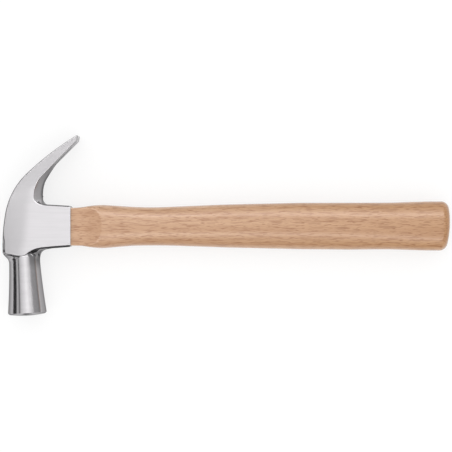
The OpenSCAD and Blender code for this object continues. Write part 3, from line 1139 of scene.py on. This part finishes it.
    def rungs(self) -> Rungs:
        """Rungs across the cheek, from the boss's lower corner to the claw's tips.

        On the right they go round the boss and along the underside, with the throat's corner
        tighter than in the middle, and the bulge leads from there to the full underside.

        Returns:
            The rungs' edges and measures.
        """
        low_count, mouth, high_count, top, throat, bend, prong = self.rung_counts
        corners = [np.array(point) for point in self.boss]
        low = corner_arc(*corners[:3], self.boss_round, low_count)
        high = corner_arc(*corners[1:], self.boss_top_round, high_count)
        front = between(low[-1], high[0], steps(mouth)[1:-1])
        boss = np.concatenate([low, front, high, between(high[-1], corners[3], steps(top)[1:-1])])
        throat_end, bend_end, _ = self.inner.ends
        last = self.inner.length - self.tip_round
        run = np.concatenate([steps(throat, 0.0, throat_end), steps(bend, throat_end, bend_end)[1:],
                              steps(prong, bend_end, last)[1:]])
        under, _ = self.inner.walk(run)
        tight, _ = self.throat.walk(run * self.throat.length / throat_end)
        full = np.concatenate([boss, under])
        right = np.concatenate([boss, np.where((run < throat_end)[:, None], tight, under)])
        number = np.arange(len(right))
        boss_facing = keyed(self.boss_facing, number[:len(boss)])
        left, heading = self.outer.walk(np.concatenate([boss_facing, self.facing(run)]))
        reach = np.concatenate([-np.linalg.norm(boss - corners[3], axis=1), run])
        spread = (reach - throat_end) / (self.inner.length - throat_end)
        rise = Fade(-self.throat_lead, self.throat_rise * throat_end)
        bulge = self.throat_crown * Window(rise, Fade(bend_end + self.throat_fade, throat_end)).at(reach)
        return Rungs(
            left=left,
            left_out=np.stack([-np.sin(heading), np.cos(heading)], axis=-1),
            left_round=keyed(self.claw_rounding, spread) + keyed(self.crown_rounding, left[:, 1]),
            left_chamfer=self.crown_chamfer.at(left[:, 1]),
            right=right,
            right_out=outward(right),
            right_round=keyed(self.edge_rounding, number),
            right_chamfer=keyed(self.edge_chamfer, number),
            bulge=full + outward(full) * bulge[:, None] - right,
            half=self.cheek_half + (self.claw_tip_half - self.cheek_half) * Fade(0.0, 1.0).at(spread),
            spread=spread,
        )

    def cheek(self, rungs: Rungs) -> Array:
        """Flat of the cheek as a grid of rungs and columns.

        Each rung is a straight line between its two edges; the lowest rungs bend down to the
        cheek's lower edge, and the side towards the crown falls by d(1 - s / r)².

        Args:
            rungs: the rungs from the boss's corner to the tips.

        Returns:
            Points of the grid, rungs by columns by 3.
        """
        left = rungs.left - rungs.left_out * rungs.left_round[:, None]
        right = rungs.right - rungs.right_out * rungs.right_round[:, None]
        _, x = self.foot_columns()
        share = (x - x[0]) / (x[-1] - x[0])
        flat = left[:, None, :] + (right - left)[:, None, :] * share[None, :, None]
        bend = self.foot_edge(x) - flat[0, :, 1]
        bend[[0, -1]] = 0.0
        fade = Fade(self.foot_bend_fade, 0.0).at(flat[:, 0, 1] - flat[0, 0, 1])
        flat[:, :, 1] += fade[:, None] * bend[None, :]
        inward = np.linalg.norm(flat - flat[:, :1], axis=-1)
        fall = np.clip(1.0 - inward / self.crown_drop_run, 0.0, 1.0) ** 2
        fall = fall * (1.0 - self.claw_drop_cut * self.claw_drop_fade.at(rungs.spread))[:, None]
        height = rungs.half[:, None] - self.crown_drop * fall
        return np.concatenate([flat, height[..., None]], axis=-1)

    def side(self, edge: Array, out: Array, rounding: Array, chamfer: Array, bulge: Array | float = 0.0,
             slope: Array | None = None) -> Array:
        """Side wall from the flat's edge down to the mid-plane.

        A quarter circle or a flat chamfer breaks the edge, then the wall runs down; a bulge moves
        it by b(1 - (z / w)ᵖ), so that it is fullest in the middle.

        Args:
            edge: points on the flat's edge.
            out: outward directions in the plane.
            rounding: radius of the rounding at each point.
            chamfer: share of the flat chamfer, from 0 to 1, at each point.
            bulge: how far and which way the wall is moved in the middle.
            slope: how far the chamfer falls for its width, the usual slope if none is given.

        Returns:
            Points, one row for each step down and one column for each edge point.
        """
        turn = steps(self.round_steps, 0.0, np.pi / 2)[:, None]
        down = steps(self.wall_steps)[1:, None]
        top = edge[None, :, 2]
        share = turn / (np.pi / 2)
        steep = self.chamfer_slope if slope is None else slope
        fall = rounding * (1.0 - np.cos(turn) + (share * steep - 1.0 + np.cos(turn)) * chamfer)
        reach = rounding * (np.sin(turn) + (share - np.sin(turn)) * chamfer)
        height = np.concatenate([top - fall, (top - fall[-1:]) * (1.0 - down)])
        shift = np.concatenate([reach, np.broadcast_to(rounding, (self.wall_steps, len(rounding)))])
        swell = 1.0 - (height / top) ** self.bulge_power
        flat = edge[None, :, :2] + out[None] * shift[..., None] + bulge * swell[..., None]
        return np.concatenate([flat, height[..., None]], axis=-1)

    def foot(self, edge: Array, wall: Array) -> Array:
        """Underside of the cheek, from its lower edge to the neck, the crown's corner and the boss.

        Each column runs down the ledge that breaks the edge, and then along a Bezier curve that
        leaves the ledge and arrives along the neck; at both ends it gives way to the plain wall.

        Args:
            edge: points of the lower edge.
            wall: the plain side wall under the same points.

        Returns:
            Points, one row for each step down and one column for each edge point.
        """
        q, _ = self.foot_columns()
        target, back = self.foot_target(q, wall[-1, :, :2])
        ledge = wall[self.round_steps]
        gap = np.linalg.norm(target - ledge, axis=-1)[:, None]
        steep = self.leave_dip - self.leave_dip_cut * self.leave_dip_fade.at(q)
        dip = np.radians(steep * (1.0 - self.leave_level.at(q)))[:, None]
        leave = np.concatenate([outward(edge[:, :2]) * np.cos(dip), -np.sin(dip)], axis=1)
        first = ledge + leave * gap * self.leave_share
        last = target + back * gap * self.arrive_share
        share = np.broadcast_to(steps(self.wall_steps)[:, None], (self.wall_steps + 1, len(q)))
        curve = bezier(ledge[None], first[None], last[None], target[None], share)
        rows = np.concatenate([wall[:self.round_steps], curve])
        return wall + (rows - wall) * self.foot_weight.at(q)[None, :, None]

    def bell(self) -> Array:
        """Upper half of the bell: rings from the neck to the rim, its bevel, and the face's dome d(r / R)².

        Returns:
            Points, one row for each ring and one column for each angle.
        """
        q, _ = self.foot_columns()
        angle = np.pi * (2.0 - q[(q >= 1.0) & (q <= 2.0)])[None, :]
        start = self.neck_behind(angle)
        flare = start + (self.rim_end - start) * steps(self.flare_steps)[:, None]
        share = np.array(self.bevel_shares)[:, None]
        flank = self.face_dome + (self.rim_bevel - self.face_dome) * share
        bevel = np.interp(share, [0.0, 1.0], [self.face_radius, self.rim_radius])
        inner = np.array(self.face_shares)[:, None]
        whole = np.ones_like(angle)
        behind = np.concatenate([flare, flank * whole, self.face_dome * inner**2 * whole])
        radius = np.concatenate([self.bell_radius(flare), bevel * whole, self.face_radius * inner * whole])
        return self.bell_point(behind, radius, np.broadcast_to(angle, behind.shape))

    def slot_cutter(self) -> Shell:
        """Closed wedge of the nail slot, carried along the underside and widening to the tips.

        Returns:
            The shell of the wedge, with a rounded root.
        """
        root = self.inner.length - self.slot_length
        turn = np.radians(self.slot_root_angles)
        ramp = steps(self.slot_steps)
        run = np.concatenate([root - self.slot_root_half * np.cos(turn),
                              root + (self.slot_length + self.slot_past) * ramp])
        half = np.concatenate([self.slot_root_half * np.sin(turn),
                               self.slot_root_half + (self.slot_tip_half - self.slot_root_half) * ramp])
        near, _ = self.inner.walk(run)
        held = np.minimum(run, self.inner.length - self.tip_round)
        under, _ = self.inner.walk(held)
        far, _ = self.outer.walk(self.facing(held))
        across = unit(under - far) * self.slot_over
        far = far + near - under
        sides = np.stack([far - across, near + across, near + across, far - across], axis=1)
        height = half[:, None] * -RISEN[None, :]
        return Shell().tube(np.concatenate([sides, height[..., None]], axis=-1))

    def build(self) -> bpy.types.Object:
        """Upper half from cheek, sides, foot and bell, mirrored below, with eye and slot cut.

        Returns:
            The head's object.
        """
        rungs = self.rungs()
        cheek = self.cheek(rungs)
        lower = cheek[0]
        count = len(lower)
        out = outward(lower[:, :2])
        out[0] = rungs.left_out[0]
        out[-1] = rungs.right_out[0]
        ledge = keyed(self.ledge_line, lower[:, 0])
        slope = keyed(self.ledge_slope, lower[:, 0])
        wall = self.side(lower, out, ledge, np.ones(count), slope=slope)
        right = self.side(cheek[:, -1], rungs.right_out, rungs.right_round, rungs.right_chamfer, rungs.bulge)
        ahead = np.broadcast_to(unit(rungs.left[-1] - rungs.left[-2]), (count, 2))
        tip = self.side(cheek[-1, ::-1], ahead, np.full(count, self.tip_round), np.zeros(count))
        left = self.side(cheek[:, 0], rungs.left_out, rungs.left_round, rungs.left_chamfer)[:, ::-1]
        foot = self.foot(lower, wall)
        shell = Shell()
        shell.grid(cheek)
        shell.grid(np.concatenate([foot, right[:, 1:], tip, left[:, :-1]], axis=1), around=True)
        shell.grid(self.bell())
        shell.mirrored()
        piece = shell.piece("forged_head")
        cut(piece, [self.eye.cutter(), self.slot_cutter()])
        return piece

    def dress(self, piece: bpy.types.Object) -> None:
        """Mark how the steel was worked all over the head and where painted shade darkens it, and give it
        its finish.

        Args:
            piece: the head's object.
        """
        places, normals = vertices(piece)
        mark(piece, Mark.BRUSHED, self.work.brushed(places, normals))
        mark(piece, Mark.PAINTED_CROWN_SHADE, self.work.crown_side(places))
        mark(piece, Mark.SHADED, self.work.shaded(places, normals))
        finished(piece, self.finish.build())


@dataclass
class Wedges:
    """One wooden and two steel wedges driven into the tenon from the crown."""

    head: HammerHead
    wood_finish: WedgeFinish = HARDWOOD
    steel_finish: WedgeFinish = DULL_STEEL
    wood_thick: float = 5.0
    wood_edge: float = 1.0
    wood_length: float = 34.0
    wood_height: float = 64.8
    steel_thick: float = 3.0
    steel_edge: float = 0.7
    steel_length: float = 22.0
    steel_width: float = 14.0
    steel_apart: float = 12.6
    recess: float = 0.5
    over: float = 8.0

    def taper(self, thick: float, edge: float, length: float, gap: float) -> tuple[Array, Array]:
        """Ends of a wedge's slit, run on past the crown at the same slope.

        Args:
            thick: thickness of the wedge at its driven end.
            edge: thickness of its thin edge.
            length: length from end to edge.
            gap: how far the slit is grown all round.

        Returns:
            Distances from the driven end and half thicknesses, of the wide end and the thin one.
        """
        slope = (thick - edge) / 2 / length
        along = np.array([-self.over, length + gap])
        return along[:, None], np.array([[thick / 2 + slope * self.over + gap], [edge / 2 + gap]])

    def slab(self, x: Array, y: Array, z: Array) -> Shell:
        """Closed slab of two rectangles, with x by ends and y and z by ends or corners."""
        return Shell().tube(np.stack(np.broadcast_arrays(x, y, z), axis=-1))

    def wood_slit(self, gap: float) -> Shell:
        """Slit for the wooden wedge, run past the crown.

        Args:
            gap: how far the slit is grown all round.

        Returns:
            The slit's cutter.
        """
        along, half = self.taper(self.wood_thick, self.wood_edge, self.wood_length, gap)
        end = -self.head.eye.depth + self.recess
        return self.slab(end + along, self.wood_height / 2 * ROUND, half * RISEN)

    def steel_slit(self, side: float, gap: float) -> Shell:
        """Slit for one steel wedge, run past the crown.

        Args:
            side: -1 for the wedge on the face's side, and 1 for the one on the claw's side.
            gap: how far the slit is grown all round.

        Returns:
            The slit's cutter.
        """
        along, half = self.taper(self.steel_thick, self.steel_edge, self.steel_length, gap)
        middle = side * self.steel_apart / 2
        end = self.head.crown_line(np.array([middle])) + self.recess
        return self.slab(end + along, middle + half * ROUND, (self.steel_width / 2 + gap) * RISEN)

    def slits(self, gap: float) -> list[Shell]:
        """Cutters for the slits that the three wedges sit in."""
        return [self.wood_slit(gap)] + [self.steel_slit(side, gap) for side in (-1.0, 1.0)]

    def dress(self) -> list[bpy.types.Object]:
        """Give the three wedges, whose shapes are kept as they are, their finishes.

        Returns:
            The wedges' objects.
        """
        wood = self.wood_finish.build()
        steel = self.steel_finish.build()
        finishes = {"wooden_wedge": wood, "steel_wedge_claw_side": steel, "steel_wedge_face_side": steel}
        dressed = []
        for name, finish in finishes.items():
            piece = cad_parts[name]
            for entry in piece.material_slots:
                entry.material = finish
            dressed.append(piece)
        return dressed


@dataclass
class Handle:
    """One length of beech with flats beside the head, a swell, a waist, a grip and a flared butt."""

    eye: Eye
    head: HammerHead
    wedges: Wedges
    finish: Beech = Beech()

    # Heights and widths along the handle, softened between the keys, and the lower half's share
    length: float = 279.6
    heights: Keys = (
        (0.0, 27.6), (5.0, 27.6), (12.5, 29.5), (20.0, 32.3), (46.2, 28.7), (60.2, 28.1), (68.2, 28.5),
        (111.9, 32.2), (167.9, 34.8), (235.0, 35.0), (261.2, 36.8), (279.8, 36.9))
    widths: Keys = (
        (0.0, 25.4), (20.0, 25.4), (60.2, 23.6), (167.9, 26.4), (235.0, 26.4), (261.2, 28.5), (279.8, 28.5))
    soften: float = 6.0
    soften_least: float = 0.01
    lower_share: Keys = (
        (0.0, 1.04), (4.0, 1.04), (8.0, 1.02), (25.0, 1.02), (45.0, 1.0), (60.0, 1.01), (75.0, 0.99),
        (100.0, 0.974), (165.0, 0.974), (185.0, 0.98), (205.0, 0.993), (220.0, 0.98), (235.0, 0.974),
        (280.0, 0.974))
    # Powers of the section's upper and lower half
    upper_square: Keys = (
        (0.0, 7.0), (13.0, 7.0), (22.0, 3.6), (44.0, 3.4), (125.0, 3.1), (185.0, 2.9), (243.0, 2.8),
        (280.0, 2.8))
    lower_square: Keys = (
        (0.0, 7.0), (13.0, 7.0), (22.0, 3.2), (44.0, 2.9), (125.0, 2.45), (185.0, 2.4), (214.0, 2.6),
        (243.0, 3.0), (266.0, 3.3), (280.0, 3.3))
    # Flats beside the head, as half thicknesses at their two ends
    flat_from: float = 10.5
    flat_to: float = 12.7
    flat_length: float = 23.0
    flat_hollow: float = 0.55
    # Butt: its rounded edge, its dome and how far the dome draws the body in
    butt_round: float = 4.6
    butt_dome: float = 2.5
    butt_dome_up: float = 3.0
    dome_run: float = 24.0
    # Tenon: its gap in the eye, how far it stops short of the crown, and where its even rings start
    gap: float = 0.05
    recess: float = 0.5
    tenon_share: float = 0.9
    # Rings and the points in each, with shares of the outline for the rings that close the ends
    around: int = 160
    tenon_steps: int = 18
    neck_run: float = 32.0
    neck_steps: int = 64
    grip_steps: int = 150
    roll_steps: int = 12
    cap_shares: tuple[float, ...] = (0.0, 0.15, 0.35, 0.55, 0.75, 0.9, 0.98)
    butt_shares: tuple[float, ...] = (0.97, 0.92, 0.84, 0.7, 0.5, 0.25, 0.0)
    # End grain: where the surface faces along X off the shoulder, and a little on the neck's flats
    end_fade: Fade = Fade(0.45, 0.95)
    shoulder: tuple[float, float] = (-1.0, 5.0)
    slant_fade: Fade = Fade(-0.02, -0.12)
    slant_reach: Fade = Fade(5.0, 13.0)
    slant_past: float = 1.0
    slant_share: float = 0.5

    def dome_fall(self, points: Array) -> Array:
        """Fall of the butt's dome: the dome times (r / R)², r from its top and R half the butt's height."""
        away = (points[..., 1] - self.butt_dome_up) ** 2 + points[..., 2] ** 2
        return self.butt_dome * away / (self.heights[-1][1] / 2) ** 2

    def body(self, x: Array, angle: Array) -> Array:
        """Sections of the handle outside the head: superellipses with the neck's flats cut off.

        The butt's edge is a quarter circle, the flats rise by t + h(t³ - t) along the neck, and the
        dome draws the last stretch in.

        Args:
            x: places of the sections along the handle's axis.
            angle: angles round the section, from +Y towards +Z.

        Returns:
            Points, one row for each section and one column for each angle.
        """
        into_butt = np.maximum(x - self.length + self.butt_round, 0.0)
        inset = self.butt_round - np.sqrt(np.maximum(self.butt_round**2 - into_butt**2, 0.0))
        span = np.minimum(self.soften, np.minimum(x, self.length - x) / 2 + self.soften_least)
        height = (softened(self.heights, x, span) / 2 - inset)[:, None]
        width = (softened(self.widths, x, span) / 2 - inset)[:, None]
        upper = keyed(self.upper_square, x)[:, None]
        lower = keyed(self.lower_square, x)[:, None]
        points = oval(x, height, width, np.where(np.cos(angle)[None, :] > 0.0, upper, lower), angle)
        along = x / self.flat_length
        rise = along + self.flat_hollow * (along**3 - along)
        flat = self.flat_from + (self.flat_to - self.flat_from) * rise
        limit = np.where(x < self.flat_length, flat, np.inf)[:, None]
        points[..., 2] = np.clip(points[..., 2], -limit, limit)
        share = keyed(self.lower_share, x)[:, None]
        points[..., 1] *= np.where(points[..., 1] < 0.0, share, 1.0)
        drawn = Fade(self.length - self.dome_run, self.length).at(x)
        points[..., 0] -= self.dome_fall(points) * drawn[:, None]
        return points

    def build(self) -> bpy.types.Object:
        """Tenon, shoulder, body and butt as one skin of rings, closed at both ends, with slits cut.

        Returns:
            The handle's object.
        """
        angle = steps(self.around, 0.0, 2 * np.pi)[:-1]
        depth = self.eye.depth
        inside = np.concatenate([[-depth], steps(self.tenon_steps, -self.tenon_share * depth, 0.0)])
        tenon = self.eye.ring(inside, angle, self.gap)
        crown = self.head.crown_line(tenon[0, :, 1]) + self.recess
        every = np.arange(self.around)
        tenon[0] = self.eye.ring(crown, angle, self.gap)[every, every]
        cap = tenon[:1] * FLATTENED * np.array(self.cap_shares)[:, None, None]
        cap[..., 0] = self.head.crown_line(cap[..., 1]) + self.recess
        roll_start = self.length - self.butt_round
        neck = steps(self.neck_steps, 0.0, self.neck_run)
        grip = steps(self.grip_steps, self.neck_run, roll_start)[1:]
        roll = roll_start + self.butt_round * np.sin(steps(self.roll_steps, 0.0, np.pi / 2)[1:])
        body = self.body(np.concatenate([neck, grip, roll]), angle)
        butt = body[-1:] * FLATTENED * np.array(self.butt_shares)[:, None, None]
        butt[..., 0] = self.length - self.dome_fall(butt)
        shell = Shell()
        shell.grid(np.concatenate([cap, tenon, body, butt]), around=True)
        piece = shell.piece("beech_handle")
        cut(piece, self.wedges.slits(self.gap))
        return piece

    def dress(self, piece: bpy.types.Object) -> None:
        """Mark the end grain, which the neck's slanted flats show a little of, and give the beech.

        Args:
            piece: the handle's object.
        """
        places, normals = vertices(piece)
        x = places[0]
        off_shoulder = (x < self.shoulder[0]) | (x > self.shoulder[1])
        ends = self.end_fade.at(np.abs(normals[0])) * off_shoulder
        slanted = self.slant_fade.at(normals[0]) * self.slant_reach.at(x)
        slanted = slanted * (x < self.flat_length + self.slant_past) * np.abs(normals[2])
        mark(piece, Mark.END_GRAIN, np.maximum(ends, self.slant_share * slanted))
        finished(piece, self.finish.build())


@dataclass(frozen=True)
class LightBar:
    """Bright bar along X: its name, where it starts, its middle along Y and its level."""

    name: str
    start: float
    middle: float
    level: float


@dataclass
class Studio:
    """Pale floor, wide soft light overhead, grey screens beside the steel, and the camera above."""

    # Camera, in millimetres for the lens and metres for its place
    lens: float = 183.05
    sensor: float = 36.0
    eye_point: Triple = (-0.00055, -0.0001, 1.71425)
    # Floor, with the colour that lights the hammer and the colour and lift that are seen
    floor_half: float = 12.0
    floor_level: float = -0.0001
    floor_colour: Triple = (0.78, 0.78, 0.78)
    floor_shown: Triple = (0.3, 0.3, 0.3)
    floor_lift: float = 0.715
    # Soft box overhead, with its level from left to right
    box_height: float = 1.2
    box_half: float = 1.0
    box_low: float = -1.35
    box_high: float = 1.7
    box_stops: Keys = (
        (0.0, 0.81), (0.15, 1.01), (0.325, 1.24), (0.394, 1.33), (0.46, 1.48), (0.5, 1.51), (0.59, 1.35),
        (0.66, 1.22), (0.734, 1.08), (0.815, 0.97), (0.908, 0.79), (1.0, 0.58))
    # Bars just under the soft box
    bars: tuple[LightBar, ...] = (
        LightBar("claw", start=-0.9, middle=0.535, level=6.2),
        LightBar("face", start=-0.14, middle=-0.48, level=4.6),
        LightBar("back", start=-0.9, middle=0.9, level=3.4))
    bar_width: float = 0.28
    bar_end: float = 0.9
    bar_drop: float = 0.01
    # Screens round the set, with their levels from the floor up
    screen_top: float = 1.26
    screen_side_gap: float = 0.05
    screen_end_gap: float = 0.2
    screen_stops: tuple[tuple[Wall, Keys], ...] = (
        (Wall.LEFT, ((0.0, 0.18), (0.075, 0.08), (0.15, 0.03), (0.275, 0.02), (0.37, 0.07), (0.44, 0.68),
                     (0.515, 0.9), (0.615, 0.68), (0.7, 0.34), (0.79, 0.13), (0.845, 0.13), (0.92, 0.42),
                     (1.0, 0.81))),
        (Wall.RIGHT, ((0.0, 0.31), (0.12, 0.34), (0.25, 0.45), (1.0, 0.47))),
        (Wall.FRONT, ((0.0, 0.03), (0.22, 0.05), (0.32, 0.2), (0.45, 0.3), (1.0, 0.33))),
        (Wall.BACK, ((0.0, 0.2), (0.25, 0.27), (0.45, 0.7), (1.0, 1.2))))

    def sheet(self, name: str, first: Triple, last: Triple, finish: bpy.types.Material) -> bpy.types.Object:
        """Flat sheet between two opposite corners, marked as part of the stage.

        Args:
            name: the sheet's name.
            first: one corner in metres.
            last: the opposite corner, level with the first along one axis.
            finish: the sheet's material.

        Returns:
            The sheet's object.
        """
        spanned = next(axis for axis in range(3) if first[axis] != last[axis])
        corners = np.array([first, first, last, last])
        corners[1, spanned] = last[spanned]
        corners[3, spanned] = first[spanned]
        mesh = bpy.data.meshes.new(name)
        mesh.from_pydata(corners.tolist(), [], [(0, 1, 2, 3)])
        mesh.materials.append(finish)
        sheet = bpy.data.objects.new(name, mesh)
        bpy.context.scene.collection.objects.link(sheet)
        return sheet

    def floor(self) -> None:
        """White floor that keeps the hammer's shadow, lifted a little where it is seen or mirrored."""
        made, nodes = material("floor_paper")
        shown = nodes.shown()
        colour = nodes.mix(shown, self.floor_colour, self.floor_shown)
        paper = nodes.add("ShaderNodeBsdfDiffuse", Color=colour)
        lift = nodes.math("MULTIPLY", shown, self.floor_lift)
        glow = nodes.add("ShaderNodeEmission", Color=WHITE, Strength=lift)
        both = nodes.tree.nodes.new("ShaderNodeAddShader")
        nodes.feed(both.inputs[0], paper.outputs["BSDF"])
        nodes.feed(both.inputs[1], glow.outputs["Emission"])
        nodes.surface(both.outputs["Shader"])
        half = self.floor_half
        self.sheet("floor", (-half, -half, self.floor_level), (half, half, self.floor_level), made)

    def glow(self, name: str, axis: str, low: float, high: float, stops: Keys) -> bpy.types.Material:
        """Glowing cloth whose level follows a ramp along one axis.

        Args:
            name: the material's name.
            axis: X, Y or Z.
            low: place in metres where the ramp starts.
            high: place in metres where the ramp ends.
            stops: places on the ramp from 0 to 1, and their levels.

        Returns:
            The new material.
        """
        made, nodes = material(name)
        peak = max(level for _, level in stops)
        ramp = tuple((spot, level / peak) for spot, level in stops)
        level = nodes.ramp(nodes.along(axis, low, high), ramp)
        nodes.surface(nodes.add("ShaderNodeEmission", Color=level, Strength=peak).outputs["Emission"])
        return made

    def soft_box(self) -> None:
        """Wide glowing sheet overhead, brightest over the middle, that the camera looks through."""
        half = self.box_half
        cloth = self.glow("soft_box_cloth", "X", -half, half, self.box_stops)
        box = self.sheet("soft_box", (half, self.box_low, self.box_height),
                         (-half, self.box_high, self.box_height), cloth)
        box.visible_camera = False

    def light_bars(self) -> None:
        """Brighter bars along the handle, on the claw's and the face's side, that only reflections show."""
        height = self.box_height - self.bar_drop
        half = self.bar_width / 2
        for bar in self.bars:
            name = f"light_bar_{bar.name}"
            made, nodes = material(f"{name}_cloth")
            nodes.surface(nodes.add("ShaderNodeEmission", Strength=bar.level).outputs["Emission"])
            sheet = self.sheet(name, (self.bar_end, bar.middle - half, height),
                               (bar.start, bar.middle + half, height), made)
            sheet.visible_camera = False
            sheet.visible_diffuse = False
            sheet.visible_shadow = False

    def screens(self) -> None:
        """Grey screens round the set that only the steel's reflections show."""
        side = self.box_half + self.screen_side_gap
        low = self.box_low - self.screen_end_gap
        high = self.box_high + self.screen_end_gap
        top = self.screen_top
        corners = {
            Wall.LEFT: ((-side, low, 0.0), (-side, high, top)),
            Wall.RIGHT: ((side, low, 0.0), (side, high, top)),
            Wall.FRONT: ((-side, low, 0.0), (side, low, top)),
            Wall.BACK: ((-side, high, 0.0), (side, high, top)),
        }
        for wall, stops in self.screen_stops:
            name = f"screen_{wall.value}"
            screen = self.sheet(name, *corners[wall], self.glow(f"{name}_cloth", "Z", 0.0, top, stops))
            screen.visible_camera = False
            screen.visible_diffuse = False
            screen.visible_transmission = False
            screen.visible_shadow = False

    def world(self) -> None:
        """Plain white surroundings."""
        world = bpy.data.worlds.new("studio")
        world.use_nodes = True
        nodes = Nodes(world.node_tree)
        white = nodes.add("ShaderNodeBackground", Color=WHITE, Strength=1.0)
        nodes.add("ShaderNodeOutputWorld", Surface=white.outputs["Background"])
        bpy.context.scene.world = world

    def camera(self) -> None:
        """Camera straight above the hammer, looking down, with +Y up in the picture."""
        data = bpy.data.cameras.new("camera_above")
        data.sensor_width = self.sensor
        data.lens = self.lens
        camera = bpy.data.objects.new("camera_above", data)
        camera.location = self.eye_point
        bpy.context.scene.collection.objects.link(camera)
        bpy.context.scene.camera = camera

    def build(self) -> None:
        """Set up the camera, the floor, the light and the screens."""
        self.camera()
        self.floor()
        self.soft_box()
        self.light_bars()
        self.screens()
        self.world()
        bpy.context.scene.view_settings.view_transform = "Standard"


def ride(piece: bpy.types.Object, node: str) -> None:
    """Let a new piece stand for a node, which is hidden, and move with the hammer.

    Args:
        piece: the new piece.
        node: the node that it replaces.
    """
    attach(piece, "root")
    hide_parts(node)


def main() -> None:
    """Build the studio and the pieces in order, and report each one."""
    logging.basicConfig(level=logging.INFO, format="%(name)s: %(message)s")
    Studio().build()
    eye = Eye()
    head = HammerHead(eye)
    wedges = Wedges(head)
    handle = Handle(eye, head, wedges)
    forged = head.build()
    head.dress(forged)
    ride(forged, "hammer_head")
    LOG.info("%s has %d faces", forged.name, len(forged.data.polygons))
    beech = handle.build()
    handle.dress(beech)
    ride(beech, "handle")
    LOG.info("%s has %d faces", beech.name, len(beech.data.polygons))
    for piece in wedges.dress():
        LOG.info("%s keeps its shape and takes a new finish", piece.name)


if __name__ == "__main__":
    main()
